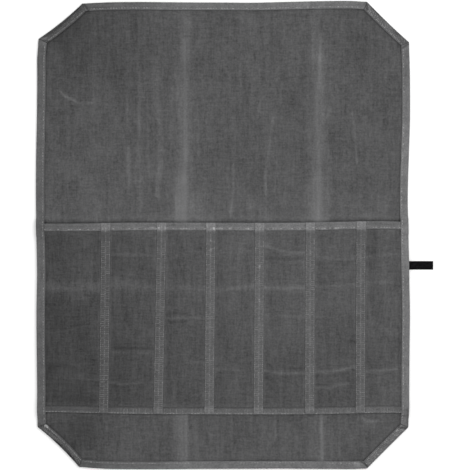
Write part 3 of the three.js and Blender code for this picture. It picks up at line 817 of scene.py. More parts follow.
class Roll:
    """Places and levels of the roll's layers, worked out from the settings."""

    def __init__(self, settings):
        self.sheet = settings.sheet
        self.tape = settings.tape
        self.pocket = settings.pocket
        self.tab = settings.tab
        self.stitch = settings.stitch
        self.tape_layer = self.tape.thickness + self.sheet.layer_gap
        self.canvas_layer = self.sheet.thickness + self.sheet.layer_gap
        self.landing = self.tape.binding_width + self.tape.binding_landing
        cut_top = self.sheet.corner_cut - self.sheet.length / 2
        self.foot_line = cut_top + self.pocket.foot_above_cut
        self.mouth_line = self.foot_line + self.pocket.depth
        self.mouth_reach = self.tape.mouth_width + self.pocket.seam_slack
        self.band_reach = self.tape.foot_width + self.pocket.seam_slack
        self.tab_height = self.mouth_line - self.tab.below_mouth
        self.mouth_read = read_table(PANEL_WAVES, "mouth")
        self.foot_read = read_table(PANEL_WAVES, "foot")
        self.edges = self.outline()

    def binding_width(self, name):
        """Width of the folded tape on one edge."""
        return self.tape.binding_width * STRIPS[name].width

    def corner_point(self, name, end):
        """One end of a cut corner: on the long side, or on the end edge."""
        corner = CORNERS[name]
        side_x = -1 if name.endswith("l") else 1
        side_y = -1 if name.startswith("b") else 1
        in_x = corner.side_dip if end == "side" else corner.across
        in_y = corner.along if end == "side" else corner.end_dip
        return np.array([
            side_x * (self.sheet.width / 2 - in_x * self.sheet.corner_cut),
            side_y * (self.sheet.length / 2 - in_y * self.sheet.corner_cut),
        ])

    def outline(self):
        """The eight edges, clockwise from the left side's foot, with their mitres."""

        def bow(name):
            depth = CORNERS[name].bow * self.sheet.corner_cut
            return lambda at: -depth * 4 * at * (1 - at)

        def wave(column, size):
            read = read_table(EDGE_WAVES, column)
            return lambda at: size * read(at)

        width, length = self.sheet.width, self.sheet.length
        starts = (
            ("left", "bl", "side", wave("left", width)),
            ("corner_tl", "tl", "side", bow("tl")),
            ("top", "tl", "end", wave("top", length)),
            ("corner_tr", "tr", "end", bow("tr")),
            ("right", "tr", "side", wave("right", width)),
            ("corner_br", "br", "side", bow("br")),
            ("bottom", "br", "end", wave("bottom", length)),
            ("corner_bl", "bl", "end", bow("bl")),
        )
        points = [self.corner_point(corner, end) for _, corner, end, _ in starts]
        edges = [
            Edge(name, points[k], points[(k + 1) % len(points)], out)
            for k, (name, _, _, out) in enumerate(starts)
        ]
        for last, edge in zip(edges[-1:] + edges[:-1], edges):
            half_turn = math.acos(last.along @ edge.along) / 2
            edge.mitre_from = math.tan(half_turn)
            last.mitre_to = math.tan(half_turn)
        return {edge.name: edge for edge in edges}

    def mouth_at(self, x):
        """Height on the roll of the pockets' mouth."""
        return self.mouth_line + self.pocket.depth * self.mouth_read(x / self.sheet.width + 0.5)

    def foot_at(self, x):
        """Height on the roll of the pockets' foot."""
        return self.foot_line + self.pocket.depth * self.foot_read(x / self.sheet.width + 0.5)

    def fold_x(self, fold, y):
        """X of a kept fold at a height on the roll."""
        share = np.clip(y / self.sheet.length + 0.5, 0, 1)
        return self.sheet.width * (lerp(fold.bottom, fold.top, share) - 0.5)

    def fold_lift(self, x, y):
        """Height of the kept folds, which fade out at the edges and under the pockets."""
        top = self.sheet.length / 2 - self.landing - self.tape.edge_ramp
        on_flap = np.minimum(y - self.mouth_at(x) - self.pocket.step_ramp, top - y)
        on_foot = np.minimum(self.foot_at(x) - self.pocket.step_ramp - y, y + top)
        fade = ease(np.maximum(on_flap, on_foot) / self.sheet.fold_fade)
        half = self.sheet.fold_width / 2
        crest = sum(plateau(x - self.fold_x(fold, y), 0, half) for fold in FOLDS)
        return self.sheet.fold_crest * fade * crest

    def edge_ramp(self, inside):
        """1 over the folded tape at an edge, easing to 0 inside it."""
        return ease((self.landing + self.tape.edge_ramp - inside) / self.tape.edge_ramp)

    def tab_lift(self, y):
        """Rise of the right edge over the tab beneath it."""
        half = self.tab.width / 2 + self.pocket.step_landing
        near = plateau(y - self.tab_height, half, self.tab.ramp)
        return (self.tab.thickness + self.sheet.layer_gap) * near

    def edge_lift(self, name, y, inside):
        """Height of the canvas's underside near one edge."""
        over_tab = self.tab_lift(y) if name == "right" else 0
        return self.edge_ramp(inside) * (self.tape_layer + over_tab)

    def side_lift(self, x, y):
        """Height of the canvas's underside across the pockets, near either long side."""
        left = np.abs(x - self.edges["left"].side_x(y, 0))
        right = np.abs(x - self.edges["right"].side_x(y, 0))
        return self.edge_lift("left", y, left) + self.edge_lift("right", y, right)

    def mouth_lift(self, below):
        """Height of the pocket panel over its own folded tape."""
        ramp = self.pocket.step_ramp
        return self.tape_layer * ease((self.mouth_reach + ramp - below) / ramp)

    def layers_at_side(self, x, y):
        """How much stands on the canvas where a long side's tape is folded over it."""
        mouth, foot = self.mouth_at(x), self.foot_at(x)
        landing, ramp = self.pocket.step_landing, self.pocket.step_ramp
        panel = plateau(y - (mouth + foot) / 2, (mouth - foot) / 2 + landing, ramp)
        hem_half = self.tape.mouth_width / 2
        hem = plateau(y - mouth + hem_half, hem_half + landing, ramp)
        band_half = self.tape.foot_width / 2
        band = plateau(y - foot - band_half, band_half + landing, ramp)
        return panel * self.canvas_layer + (hem * 2 + band) * self.tape_layer

    def divider_x(self, divider, y, offset):
        """X beside a divider's middle, at a height on the roll."""
        share = np.clip((self.mouth_line - y) / self.pocket.depth, 0, 1)
        return self.sheet.width * (lerp(divider.mouth, divider.foot, share) - 0.5) + offset


class Panel:
    """The pocket panel's columns, which follow its seams, and its level over the base canvas."""

    def __init__(self, roll, pitch):
        self.roll = roll
        flat_half = roll.tape.divider_width / 2 + roll.pocket.step_landing / 2
        left, right = roll.edges["left"], roll.edges["right"]
        panel_edge = roll.tape_layer + roll.pocket.edge_inset
        lines = [
            lambda y: left.side_x(y, panel_edge),
            lambda y: left.side_x(y, roll.landing),
        ]
        for divider in DIVIDERS:
            for offset in (-flat_half, flat_half):
                lines.append(lambda y, d=divider, o=offset: roll.divider_x(d, y, o))
        lines += [
            lambda y: right.side_x(y, roll.landing),
            lambda y: right.side_x(y, panel_edge),
        ]
        self.spans = []
        for k, (start, end) in enumerate(zip(lines[:-1], lines[1:])):
            width = end(roll.mouth_line) - start(roll.mouth_line)
            shares = np.arange(max(2, round(width / pitch)) + 1) / max(2, round(width / pitch))
            is_last = k == len(lines) - 2
            self.spans.append((start, end, shares if is_last else shares[:-1], k % 2 == 1))
        self.arch = np.concatenate([
            np.square(np.sin(math.pi * shares)) if arched else 0 * shares
            for _, _, shares, arched in self.spans
        ])

    def columns_x(self, y):
        """X of every column at a net of heights."""
        found, first = [], 0
        for start, end, shares, _ in self.spans:
            part = y[:, first:first + len(shares)]
            found.append(lerp(start(part), end(part), shares))
            first += len(shares)
        return np.concatenate(found, axis=1)

    def net(self, belows):
        """X and Y of the panel's points, a row for each distance below the mouth."""
        roll = self.roll
        below = np.repeat(np.asarray(belows, float)[:, None], len(self.arch), axis=1)
        guess = self.columns_x(roll.mouth_line - below)
        top = roll.mouth_at(guess)
        y = top - below * (top - roll.foot_at(guess)) / roll.pocket.depth
        return self.columns_x(y), y, below

    def underside(self, x, y, below):
        """Height of the panel's underside over a net of points."""
        roll = self.roll
        arch_depth = roll.pocket.depth - roll.band_reach
        fall = 1 - np.square(np.clip(below / arch_depth, 0, 1))
        rest = roll.side_lift(x, y) + roll.canvas_layer
        return rest + roll.mouth_lift(below) + roll.pocket.lift * self.arch * fall

    def row(self, below, height=0.0):
        """Line of points across the panel at a distance below the mouth and a height above it."""
        x, y, belows = self.net([below])
        z = self.underside(x, y, belows) + height
        return np.stack([x[0], y[0], z[0]], axis=-1)


def in_pixels(x, y):
    """The photograph's pixel of each place on the roll."""
    return PHOTO_MIDDLE[0] + x / PHOTO_PIXEL, PHOTO_MIDDLE[1] - y / PHOTO_PIXEL


def streak_profile(streak, px, py):
    """How much of a streak lies on each pixel place: 1 on its path and 0 well away from it."""
    nearest = np.full(px.shape, np.inf)
    for (x0, y0), (x1, y1) in zip(streak.path[:-1], streak.path[1:]):
        span = (x1 - x0) ** 2 + (y1 - y0) ** 2
        along = np.clip(((px - x0) * (x1 - x0) + (py - y0) * (y1 - y0)) / span, 0, 1)
        away = np.hypot(px - lerp(x0, x1, along), py - lerp(y0, y1, along))
        nearest = np.minimum(nearest, away)
    return bell(nearest, streak.half_width)


def wear(x, y, streaks):
    """Light of the wax marks at each place, and the cracks' height as a share of their relief."""
    px, py = in_pixels(x, y)
    light = np.zeros(x.shape)
    height = np.zeros(x.shape)
    for streak in streaks:
        profile = streak_profile(streak, px, py)
        light += streak.light * profile
        height += np.sign(streak.light) * profile / max(1.0, streak.half_width / 2)
    return light, height


def soft_light(patches, x, y):
    """Light of the soft areas at each place."""
    px, py = in_pixels(x, y)
    light = np.zeros(x.shape)
    for (middle_x, middle_y), (reach_x, reach_y), share in patches:
        away = np.hypot((px - middle_x) / reach_x, (py - middle_y) / reach_y)
        light += share * bell(away, 1)
    return light


def lines_light(distance, *lines):
    """Light of the soft lines along an edge, at distances from it."""
    return sum(line.light * bell(distance - line.away, line.half_width) for line in lines)


def tape_light(x, y):
    """Share of its colour a tape shows at each place: soft areas, partly painted shade, and marks.
    """
    marks, _ = wear(x, y, TAPE_STREAKS)
    return np.maximum(0.05, 1 + soft_light(TAPE_TONE_AND_PAINTED_SHADE, x, y) + marks)


def cloth_tone_and_painted_shade(roll, x, y):
    """Light at each place: soft areas, partly painted shade, and the left side's painted shade."""
    px, _ = in_pixels(x, y)
    left = np.clip((LEFT_FADE_TO - px) / (LEFT_FADE_TO - LEFT_FADE_FROM), 0, 1) ** 1.2
    at_mouth = ease((roll.mouth_at(x) - y) / 0.012)
    at_foot = ease((y - roll.foot_at(x) + 0.004) / 0.008)
    return soft_light(CLOTH_TONE_AND_PAINTED_SHADE, x, y) - LEFT_PAINTED_SHADE * left * at_mouth * at_foot


def net_faces(rows, columns):
    """Four-cornered faces of a net whose points are stored row by row, and its rim."""
    index = np.arange(rows * columns).reshape(rows, columns)
    quads = np.stack([index[:-1, :-1], index[:-1, 1:], index[1:, 1:], index[1:, :-1]], axis=-1)
    rim = np.concatenate([index[0, :-1], index[:-1, -1], index[-1, :0:-1], index[:0:-1, 0]])
    return quads.reshape(-1, 4), rim


def coarse_steps(count, step):
    """Every step-th number up to the last one, which is always there."""
    return sorted({*range(0, count - 1, step), count - 1})


def coarse_cells(rows, columns, step):
    """Faces of the underside: wide cells whose sides take in every point of the rim."""
    row_steps, column_steps = coarse_steps(rows, step), coarse_steps(columns, step)
    cells = []
    for r0, r1 in zip(row_steps[:-1], row_steps[1:]):
        for c0, c1 in zip(column_steps[:-1], column_steps[1:]):
            loop = []
            loop += [(r0, c) for c in (range(c0, c1) if r0 == 0 else (c0,))]
            loop += [(r, c1) for r in (range(r0, r1) if c1 == columns - 1 else (r0,))]
            loop += [(r1, c) for c in (range(c1, c0, -1) if r1 == rows - 1 else (c1,))]
            loop += [(r, c0) for r in (range(r1, r0, -1) if c0 == 0 else (r1,))]
            cells.append([r * columns + c for r, c in reversed(loop)])
    return cells


def closed_sheet(x, y, underside, topside, coarse):
    """Points and faces of a closed sheet over a net of places, with a coarser underside."""
    rows, columns = x.shape
    quads, rim = net_faces(rows, columns)
    count = rows * columns
    upper = np.stack([x, y, topside], axis=-1).reshape(-1, 3)
    lower = np.stack([x, y, underside], axis=-1).reshape(-1, 3)
    cells = coarse_cells(rows, columns, coarse)
    used = np.unique(np.concatenate([np.concatenate(cells), rim]))
    place = np.zeros(count, int)
    place[used] = count + np.arange(len(used))
    after = np.roll(rim, -1)
    walls = np.stack([place[rim], place[after], after, rim], axis=-1)
    faces = quads.tolist() + walls.tolist() + [place[cell].tolist() for cell in cells]
    return np.concatenate([upper, lower[used]]), faces


def swept_bar(sections):
    """Points and faces of a closed bar through sections with the same number of points."""
    stations, sides, _ = sections.shape
    index = np.arange(stations * sides).reshape(stations, sides)
    after = np.roll(index, -1, axis=1)
    quads = np.stack([index[:-1], index[1:], after[1:], after[:-1]], axis=-1).reshape(-1, 4)
    faces = quads.tolist() + [index[0].tolist(), index[-1, ::-1].tolist()]
    return sections.reshape(-1, 3), faces


def add_piece(name, points, faces, material, tone=None):
    """A smooth mesh object at the origin. Tone is how light each point is beside its colour."""
    mesh = bpy.data.meshes.new(name)
    mesh.from_pydata(points.tolist(), [], faces)
    mesh.shade_smooth()
    mesh.materials.append(material)
    # The tone carries marks and painted light and shade alike.
    values = np.ones(len(points)) if tone is None else tone
    tones = mesh.attributes.new("tone", "FLOAT", "POINT")
    tones.data.foreach_set("value", values.astype(np.float32))
    piece = bpy.data.objects.new(name, mesh)
    bpy.context.scene.collection.objects.link(piece)
    return piece


def dress(piece, slot, *nodes):
    """Lets a piece ride on the roll and stand for its solids. Its slot is not used."""
    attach(piece, BODY)
    if nodes:
        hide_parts(*nodes)
    return piece


class Wire:
    """One output of a node. Arithmetic on it adds Math nodes."""

    def __init__(self, finish, socket):
        self.finish = finish
        self.socket = socket

    def math(self, operation, *values):
        sockets = dict(enumerate(values))
        return self.finish.node("ShaderNodeMath", {"operation": operation}, sockets)

    def __add__(self, other):
        return self.math("ADD", self, other)

    def __radd__(self, other):
        return self.math("ADD", other, self)

    def __sub__(self, other):
        return self.math("SUBTRACT", self, other)

    def __rsub__(self, other):
        return self.math("SUBTRACT", other, self)

    def __mul__(self, other):
        return self.math("MULTIPLY", self, other)

    def __rmul__(self, other):
        return self.math("MULTIPLY", other, self)

    def sine(self):
        return self.math("SINE", self)

    def clamped(self):
        return self.math("MINIMUM", self.math("MAXIMUM", self, 0.0), 1.0)


class Finish:
    """One material under construction."""

    def __init__(self, name):
        self.material = bpy.data.materials.new(name)
        self.material.use_nodes = True
        self.tree = self.material.node_tree
        self.tree.nodes.clear()

    def node(self, kind, settings=None, sockets=None, output=0):
        """Adds a node: its settings are set first, then its sockets get their values or links."""
        made = self.tree.nodes.new(kind)
        for key, value in (settings or {}).items():
            setattr(made, key, value)
        for key, value in (sockets or {}).items():
            if isinstance(value, Wire):
                self.tree.links.new(value.socket, made.inputs[key])
            else:
                made.inputs[key].default_value = value
        return Wire(self, made.outputs[output]) if made.outputs else None

    def place(self):
        """Place on the piece, in metres."""
        return self.node("ShaderNodeTexCoord", output="Object")

    def axes(self, place):
        """X, Y and Z of a place."""
        split = self.node("ShaderNodeSeparateXYZ", sockets={"Vector": place})
        outputs = split.socket.node.outputs
        return tuple(Wire(self, outputs[axis]) for axis in ("X", "Y", "Z"))

    def noise(self, place, stretch, detail=2.0):
        """Noise from 0 to 1 about a half, with so many grains a metre along each axis."""
        settings = {"operation": "MULTIPLY"}
        scaled = self.node("ShaderNodeVectorMath", settings, {0: place, 1: stretch})
        sockets = {"Vector": scaled, "Scale": 1.0, "Detail": detail, "Roughness": 0.55}
        return self.node("ShaderNodeTexNoise", sockets=sockets, output="Fac")

    def tone(self):
        """How light the point is beside its own colour."""
        return self.node("ShaderNodeAttribute", {"attribute_name": "tone"}, output="Fac")

    def tinted(self, colour, light):
        """A colour made lighter or darker by a value."""
        settings = {"data_type": "RGBA", "blend_type": "MULTIPLY"}
        sockets = {0: 1.0, 6: (*colour, 1.0), 7: light}
        return self.node("ShaderNodeMix", settings, sockets, output=2)

    def bump(self, height, distance):
        """Normal of a surface that rises by a height from 0 to 1 times a distance."""
        sockets = {"Strength": 1.0, "Distance": distance, "Height": height}
        return self.node("ShaderNodeBump", sockets=sockets)

    def close(self, sockets):
        """Ends the material in one surface shader."""
        shader = self.node("ShaderNodeBsdfPrincipled", sockets=sockets)
        self.node("ShaderNodeOutputMaterial", sockets={"Surface": shader})
        return self.material


def waves_per(pitch):
    """Turns of a sine for each metre, for a repeat of that pitch."""
    return 2 * math.pi / pitch


def canvas_finish(colours):
    """Plain-woven canvas with a dull wax coat that whitens where it has been bent."""
    finish = Finish("waxed_canvas")
    place = finish.place()
    x, y, _ = finish.axes(place)
    warp = finish.noise(place, (600.0, 90.0, 1.0))
    weft = finish.noise(place, (110.0, 600.0, 1.0))
    grain = finish.noise(place, (430.0, 430.0, 430.0), detail=3.0)
    slub = finish.noise(place, (260.0, 42.0, 1.0), detail=1.0)
    bar = finish.noise(place, (40.0, 250.0, 1.0), detail=1.0)
    drag = finish.noise(place, (150.0, 12.0, 1.0), detail=1.0)
    cloud = finish.noise(place, (26.0, 20.0, 26.0), detail=2.0)
    tone = finish.tone()
    # The tone holds the wax marks and the painted light and shade alike.
    mark = (tone - 1.0) * (0.55 + 0.9 * grain)
    threads = 0.56 * (warp - 0.5) + 0.54 * (weft - 0.5)
    texture = threads + 1.22 * (grain - 0.5) + 0.5 * (slub - 0.5) + 0.42 * (bar - 0.5)
    wax = 0.42 * (drag - 0.5) + 0.5 * (cloud - 0.5)
    light = (0.94 + 0.94 * mark) * (1.0 + (1.95 - 0.95 * tone) * texture + wax)
    weave = (x * waves_per(0.0011)).sine() * (y * waves_per(0.0011)).sine()
    height = 0.5 + 0.25 * weave + 0.5 * (warp - 0.5) + 0.5 * (weft - 0.5)
    return finish.close({
        "Base Color": finish.tinted(colours.canvas, light),
        "Roughness": (0.86 - 0.3 * (cloud - 0.5)).clamped(),
        "Normal": finish.bump(height, 0.00022),
        "Specular IOR Level": 0.3,
        "Sheen Weight": 0.05,
        "Sheen Roughness": 0.6,
    })


def tape_finish(colours):
    """Flat cotton tape with a fine slanting rib."""
    finish = Finish("cotton_tape")
    place = finish.place()
    x, y, _ = finish.axes(place)
    grain = finish.noise(place, (600.0, 600.0, 600.0), detail=3.0)
    cloud = finish.noise(place, (90.0, 90.0, 90.0), detail=3.0)
    rib = ((x + y) * waves_per(0.0013)).sine()
    light = finish.tone() * (1.0 + 1.2 * (grain - 0.5) + 0.6 * (cloud - 0.5) + 0.06 * rib)
    return finish.close({
        "Base Color": finish.tinted(colours.tape, light),
        "Roughness": (0.88 - 0.2 * (grain - 0.5)).clamped(),
        "Normal": finish.bump(0.5 + 0.3 * rib + 0.5 * (grain - 0.5), 0.0002),
        "Specular IOR Level": 0.3,
        "Sheen Weight": 0.05,
        "Sheen Roughness": 0.6,
    })


def thread_finish(colours):
    """Twisted grey sewing thread."""
    finish = Finish("sewing_thread")
    place = finish.place()
    x, y, z = finish.axes(place)
    twist = ((x + y + z) * waves_per(0.0005)).sine()
    grain = finish.noise(place, (400.0, 400.0, 400.0))
    light = finish.tone() * (1.0 + 0.1 * twist + 0.8 * (grain - 0.5))
    return finish.close({
        "Base Color": finish.tinted(colours.thread, light),
        "Roughness": 0.7,
        "Normal": finish.bump(0.5 + 0.5 * twist, 0.0001),
        "Specular IOR Level": 0.4,
    })


def tab_finish(colours):
    """Black woven tape with fine ribs across it."""
    finish = Finish("black_webbing")
    place = finish.place()
    x, y, _ = finish.axes(place)
    ribs = (x * waves_per(0.0009)).sine()
    grain = finish.noise(place, (700.0, 500.0, 700.0))
    height = 0.5 + 0.3 * ribs + 0.15 * (y * waves_per(0.0014)).sine()
    light = finish.tone() * (0.5 + 0.2 * ribs + 3.2 * (grain - 0.5))
    return finish.close({
        "Base Color": finish.tinted(colours.tab, light),
        "Roughness": 0.8,
        "Normal": finish.bump(height, 0.00025),
        "Specular IOR Level": 0.05,
    })


def floor_finish(stage):
    """Matt pale floor with the faintest mottle."""
    finish = Finish("pale_floor")
    cloud = finish.noise(finish.place(), (3.0, 3.0, 3.0))
    return finish.close({
        "Base Color": finish.tinted(stage.floor_colour, 1.0 + 0.02 * (cloud - 0.5)),
        "Roughness": 0.9,
        "Specular IOR Level": 0.0,
    })


FINISHES = {
    "waxed_canvas": canvas_finish,
    "cotton_tape": tape_finish,
    "sewing_thread": thread_finish,
    "black_webbing": tab_finish,
}


def finish_named(name, colours):
    """A material that is built the first time that a piece needs it."""
    return bpy.data.materials.get(name) or FINISHES[name](colours)


# Distance between the sections of an edge tape
BINDING_STEP = 0.0012


def folded_profile(width, roll, seam):
    """Section of a tape folded round a cloth's edge, as a closed loop.

    Gives for each point its distance in from the fold, its height past the cloth it covers, and
    a sign that is 1 on the upper leg and -1 on the lower one. The seam pulls a groove."""
    outer, gap, thickness = roll.tape_layer, roll.sheet.layer_gap, roll.tape.thickness
    bend = 0.85 * outer
    rounding = 0.0003
    turn = np.linspace(0, math.pi / 2, 5)
    flat = np.linspace(bend, width - rounding, 22)
    crown = roll.tape.crown * np.sin(math.pi * np.clip(flat / width, 0, 1))
    groove = roll.tape.groove * bell(flat - seam, 0.0011)
    parts = (
        (-1, np.linspace(width, bend, 4), np.full(4, outer)),
        (-1, bend - bend * np.sin(turn[1:]), outer - bend + bend * np.cos(turn[1:])),
        (1, bend - bend * np.sin(turn[::-1]), outer - bend + bend * np.cos(turn[::-1])),
        (1, flat[1:], outer + (crown - groove)[1:]),
        (1, np.array([width, width]), np.array([outer - rounding, gap])),
        (1, np.linspace(width - 0.001, thickness, 3), np.full(3, gap)),
        (-1, np.linspace(thickness, width, 3), np.full(3, gap)),
    )
    inside = np.concatenate([part for _, part, _ in parts])
    height = np.concatenate([part for _, _, part in parts])
    sign = np.concatenate([np.full(len(part), side) for side, part, _ in parts])
    return inside, height, sign


def binding_tone(inside, strip, seam):
    """Light across a folded tape: painted shade at the fold, dark beside the seam, light along it.
    """
    # Painted shade on the fold, a darker line beside the seam, and on the seam a lighter line that
    # is partly painted highlight
    fold = SoftLine(0, 0.0013, -strip.fold)
    beside_seam = SoftLine(seam - 0.0028, 0.0013, -0.06)
    on_seam = SoftLine(seam, 0.0012, strip.line)
    return strip.tone * (1 + lines_light(inside, fold, beside_seam, on_seam))


def edge_binding(roll, name, material):
    """The tape folded round one edge of the sheet, mitred at both ends."""
    edge = roll.edges[name]
    width = roll.binding_width(name)
    seam = width - roll.stitch.seam_inset
    inside, height, sign = folded_profile(width, roll, seam)
    at = np.linspace(0, 1, round(edge.length / BINDING_STEP) + 1)[:, None]
    x, y = edge.point(at, inside[None, :], trim=roll.sheet.layer_gap / 2)
    under, over = binding_levels(roll, edge, at)
    z = np.where(sign > 0, over + height, under - height)
    points, faces = swept_bar(np.stack([x, y, z], axis=-1))
    tone = binding_tone(inside, STRIPS[name], seam)[None, :] * tape_light(x, y)
    return add_piece(f"tape_{name}", points, faces, material, tone.reshape(-1))


def binding_levels(roll, edge, at):
    """Levels that a folded edge tape lies under and over, at shares of its edge."""
    x, y = edge.point(at, 0 * at)
    under = roll.edge_lift(edge.name, y, 0) + 0 * y
    layers = 0
    if edge.name in ("left", "right"):
        side = math.copysign(roll.sheet.width / 2, edge.start[0])
        layers = roll.layers_at_side(side, y)
    return under, under + roll.sheet.thickness + layers


# Rows of the base canvas's points that the pockets hide, and rows under their mouth
HIDDEN_ROWS = 30
MOUTH_ROWS = 24


def cloth_rows(roll):
    """Heights of the base canvas's rows: fine where it shows, wide apart under the pockets."""
    pitch = roll.sheet.pitch
    bottom, top = -roll.sheet.length / 2, roll.sheet.length / 2
    hidden_from = roll.foot_line + roll.tape.foot_width
    hidden_to = roll.mouth_line - roll.tape.mouth_width
    shown_from = roll.mouth_line + 4 * pitch
    foot_rows = round((hidden_from - bottom) / pitch)
    return np.concatenate([
        np.linspace(bottom, hidden_from, foot_rows, endpoint=False),
        np.linspace(hidden_from, hidden_to, HIDDEN_ROWS, endpoint=False),
        np.linspace(hidden_to, shown_from, MOUTH_ROWS, endpoint=False),
        np.linspace(shown_from, top, round((top - shown_from) / pitch)),
    ])


def cloth_net(roll):
    """Places of the base canvas's points. Its rim runs inside the edge tapes."""
    inside = roll.tape_layer
    at = np.linspace(0, 1, 200)

    def chain(names, backwards):
        parts = [roll.edges[name].point(at[::-1] if backwards else at, inside) for name in names]
        return np.concatenate([x for x, _ in parts]), np.concatenate([y for _, y in parts])

    left_x, left_y = chain(("corner_bl", "left", "corner_tl"), False)
    right_x, right_y = chain(("corner_br", "right", "corner_tr"), True)
    columns = np.linspace(0, 1, round(roll.sheet.width / roll.sheet.pitch) + 1)
    _, bottom = roll.edges["bottom"].point(1 - columns, inside)
    _, top = roll.edges["top"].point(columns, inside)
    rows = cloth_rows(roll)
    share = ((rows - rows[0]) / (rows[-1] - rows[0]))[:, None]
    y = lerp(bottom[None, :], top[None, :], share)
    start = np.interp(y[:, 0], left_y, left_x)[:, None]
    end = np.interp(y[:, -1], right_y, right_x)[:, None]
    return lerp(start, end, columns[None, :]), y


def cloth_piece(name, places, underside, thickness, light, material, coarse):
    """A canvas sheet on a net of places. Light: its marks and painted shade on its upper side."""
    points, faces = closed_sheet(*places, underside, underside + thickness, coarse)
    tone = np.ones(len(points))
    tone[:light.size] += light.reshape(-1)
    return add_piece(name, points, faces, material, tone)


def base_canvas(roll, material):
    """The sheet that everything is sewn to."""
    x, y = cloth_net(roll)
    inside = np.min([edge.inside(x, y) for edge in roll.edges.values()], axis=0)
    right = roll.edges["right"].inside(x, y)
    lift = roll.edge_ramp(inside) * roll.tape_layer + roll.edge_ramp(right) * roll.tab_lift(y)
    underside = lift + roll.fold_lift(x, y)
    light, height = wear(x, y, FOLD_STREAKS + FLAP_STREAKS + FOOT_STREAKS)
    light += cloth_tone_and_painted_shade(roll, x, y)
    # Painted shadow on the canvas along each edge tape
    for name, strip in STRIPS.items():
        beside = roll.edges[name].inside(x, y) - roll.binding_width(name)
        light += lines_light(beside, SoftLine(TAPE_SHADOW_AWAY, TAPE_SHADOW_HALF_WIDTH, -strip.beside))
    # Painted shade inside three cut corners, painted shadow and light above the mouth, painted
    # light below the foot
    for name, shade in CORNER_PAINTED_SHADES.items():
        light += lines_light(roll.edges[name].inside(x, y), shade)
    light += lines_light(y - roll.mouth_at(x), *PAINTED_SHADOW_AND_LIGHT_ABOVE_MOUTH)
    light += lines_light(roll.foot_at(x) - roll.tape.foot_overhang - y, PAINTED_LIGHT_BELOW_FOOT)
    thickness = roll.sheet.thickness + roll.sheet.crack_relief * height * (inside > CRACKS_FROM)
    return cloth_piece("cloth_base", (x, y), underside, thickness, light, material, coarse=6)


def pocket_canvas(roll, panel, material):
    """The second sheet, which rises between its seams."""
    steps = round((roll.pocket.depth - roll.tape_layer) / roll.sheet.pitch)
    belows = np.linspace(roll.pocket.depth, roll.tape_layer, steps + 1)
    x, y, below = panel.net(belows)
    underside = panel.underside(x, y, below)
    light, height = wear(x, y, POCKET_STREAKS)
    light += cloth_tone_and_painted_shade(roll, x, y)
    light -= FOOT_SHADE * ease((below / roll.pocket.depth - 0.28) / 0.55)
    # Painted light below the mouth's tape and above the foot's tape, which lifts the shade of
    # those steps
    light += lines_light(below - roll.tape.mouth_width, PAINTED_LIGHT_BELOW_HEM)
    light += lines_light(roll.pocket.depth - below - roll.tape.foot_width, PAINTED_LIGHT_ABOVE_BAND)
    # Painted light beside each divider, more next to the bare tape near the mouth
    near_mouth = ease((roll.stitch.ladder_start - below) / 0.004)
    for divider in DIVIDERS:
        away = np.abs(x - roll.divider_x(divider, y, 0)) - roll.tape.divider_width / 2
        light += lines_light(away, PAINTED_LIGHT_BESIDE_DIVIDER)
        light += near_mouth * lines_light(away, PAINTED_LIGHT_BESIDE_BARE_TAPE)
    thickness = roll.sheet.thickness + roll.sheet.crack_relief * height
    return cloth_piece("cloth_pockets", (x, y), underside, thickness, light, material, coarse=4)


def mouth_binding(roll, panel, material):
    """The tape folded round the pockets' mouth."""
    width = roll.tape.mouth_width
    seam = width - roll.stitch.seam_inset
    inside, height, sign = folded_profile(width, roll, seam)
    x, y, below = panel.net(inside)
    level = panel.underside(x, y, below)
    height = height[:, None]
    z = np.where(sign[:, None] > 0, level + roll.sheet.thickness + height, level - height)
    points, faces = swept_bar(np.stack([x, y, z], axis=-1).transpose(1, 0, 2))
    on_seam = SoftLine(seam - 0.0004, 0.0022, 0.17)
    above_seam = SoftLine(0.0042, 0.0012, -0.1)
    tone = (HEM_TONE + lines_light(inside, on_seam, above_seam))[:, None] * tape_light(x, y)
    return add_piece("tape_mouth", points, faces, material, tone.T.reshape(-1))


def flat_profile(roll, across=16):
    """Section of a flat tape: shares of its width and heights, as a closed loop with a crown."""
    edge = 0.03
    share = np.linspace(0, 1, across + 1)
    crown = roll.tape.thickness + roll.tape.crown * np.sin(math.pi * share)
    rim = roll.tape.thickness * np.array([0.7, 0.95])
    below = np.linspace(1, 0, 4)
    shares = np.concatenate([[0, edge], share[1:-1], [1 - edge, 1], below])
    return shares, np.concatenate([rim, crown[1:-1], rim[::-1], 0 * below])


def foot_band(roll, panel, material):
    """The flat tape over the pockets' foot."""
    share, height = flat_profile(roll)
    depth = roll.pocket.depth
    belows = lerp(depth - roll.tape.foot_width, depth + roll.tape.foot_overhang, share)
    x, y, _ = panel.net(belows)
    level = panel.underside(x, y, np.full(x.shape, depth)) + roll.canvas_layer
    sections = np.stack([x, y, level + height[:, None]], axis=-1).transpose(1, 0, 2)
    points, faces = swept_bar(sections[:, ::-1])
    upper = 1 - ease((share - 0.12) / 0.12)
    tone = BAND_TONE - BAND_TOP_SHADE * upper + 0.17 * bell(share - 0.82, 0.13)
    tone = tone[:, None] * (1 + cloth_tone_and_painted_shade(roll, x, y)) * tape_light(x, y)
    return add_piece("tape_foot", points, faces, material, tone.T[:, ::-1].reshape(-1))


def divider_levels(roll, below):
    """Height of a divider's underside at distances below the mouth."""
    band_top = roll.pocket.depth - roll.band_reach
    ramp = roll.pocket.step_ramp
    over_band = ease((below - band_top + ramp) / ramp)
    return 2 * roll.canvas_layer + 2 * roll.mouth_lift(below) + roll.tape_layer * over_band


def divider_line(roll, divider, below, offset, height):
    """Points along a divider at an offset from its middle and a height above its underside."""
    x = roll.divider_x(divider, roll.mouth_line - below, 0)
    top = roll.mouth_at(x)
    y = top - below * (top - roll.foot_at(x)) / roll.pocket.depth
    x = roll.divider_x(divider, y, offset)
    return np.stack([x, y, divider_levels(roll, below) + height], axis=-1)


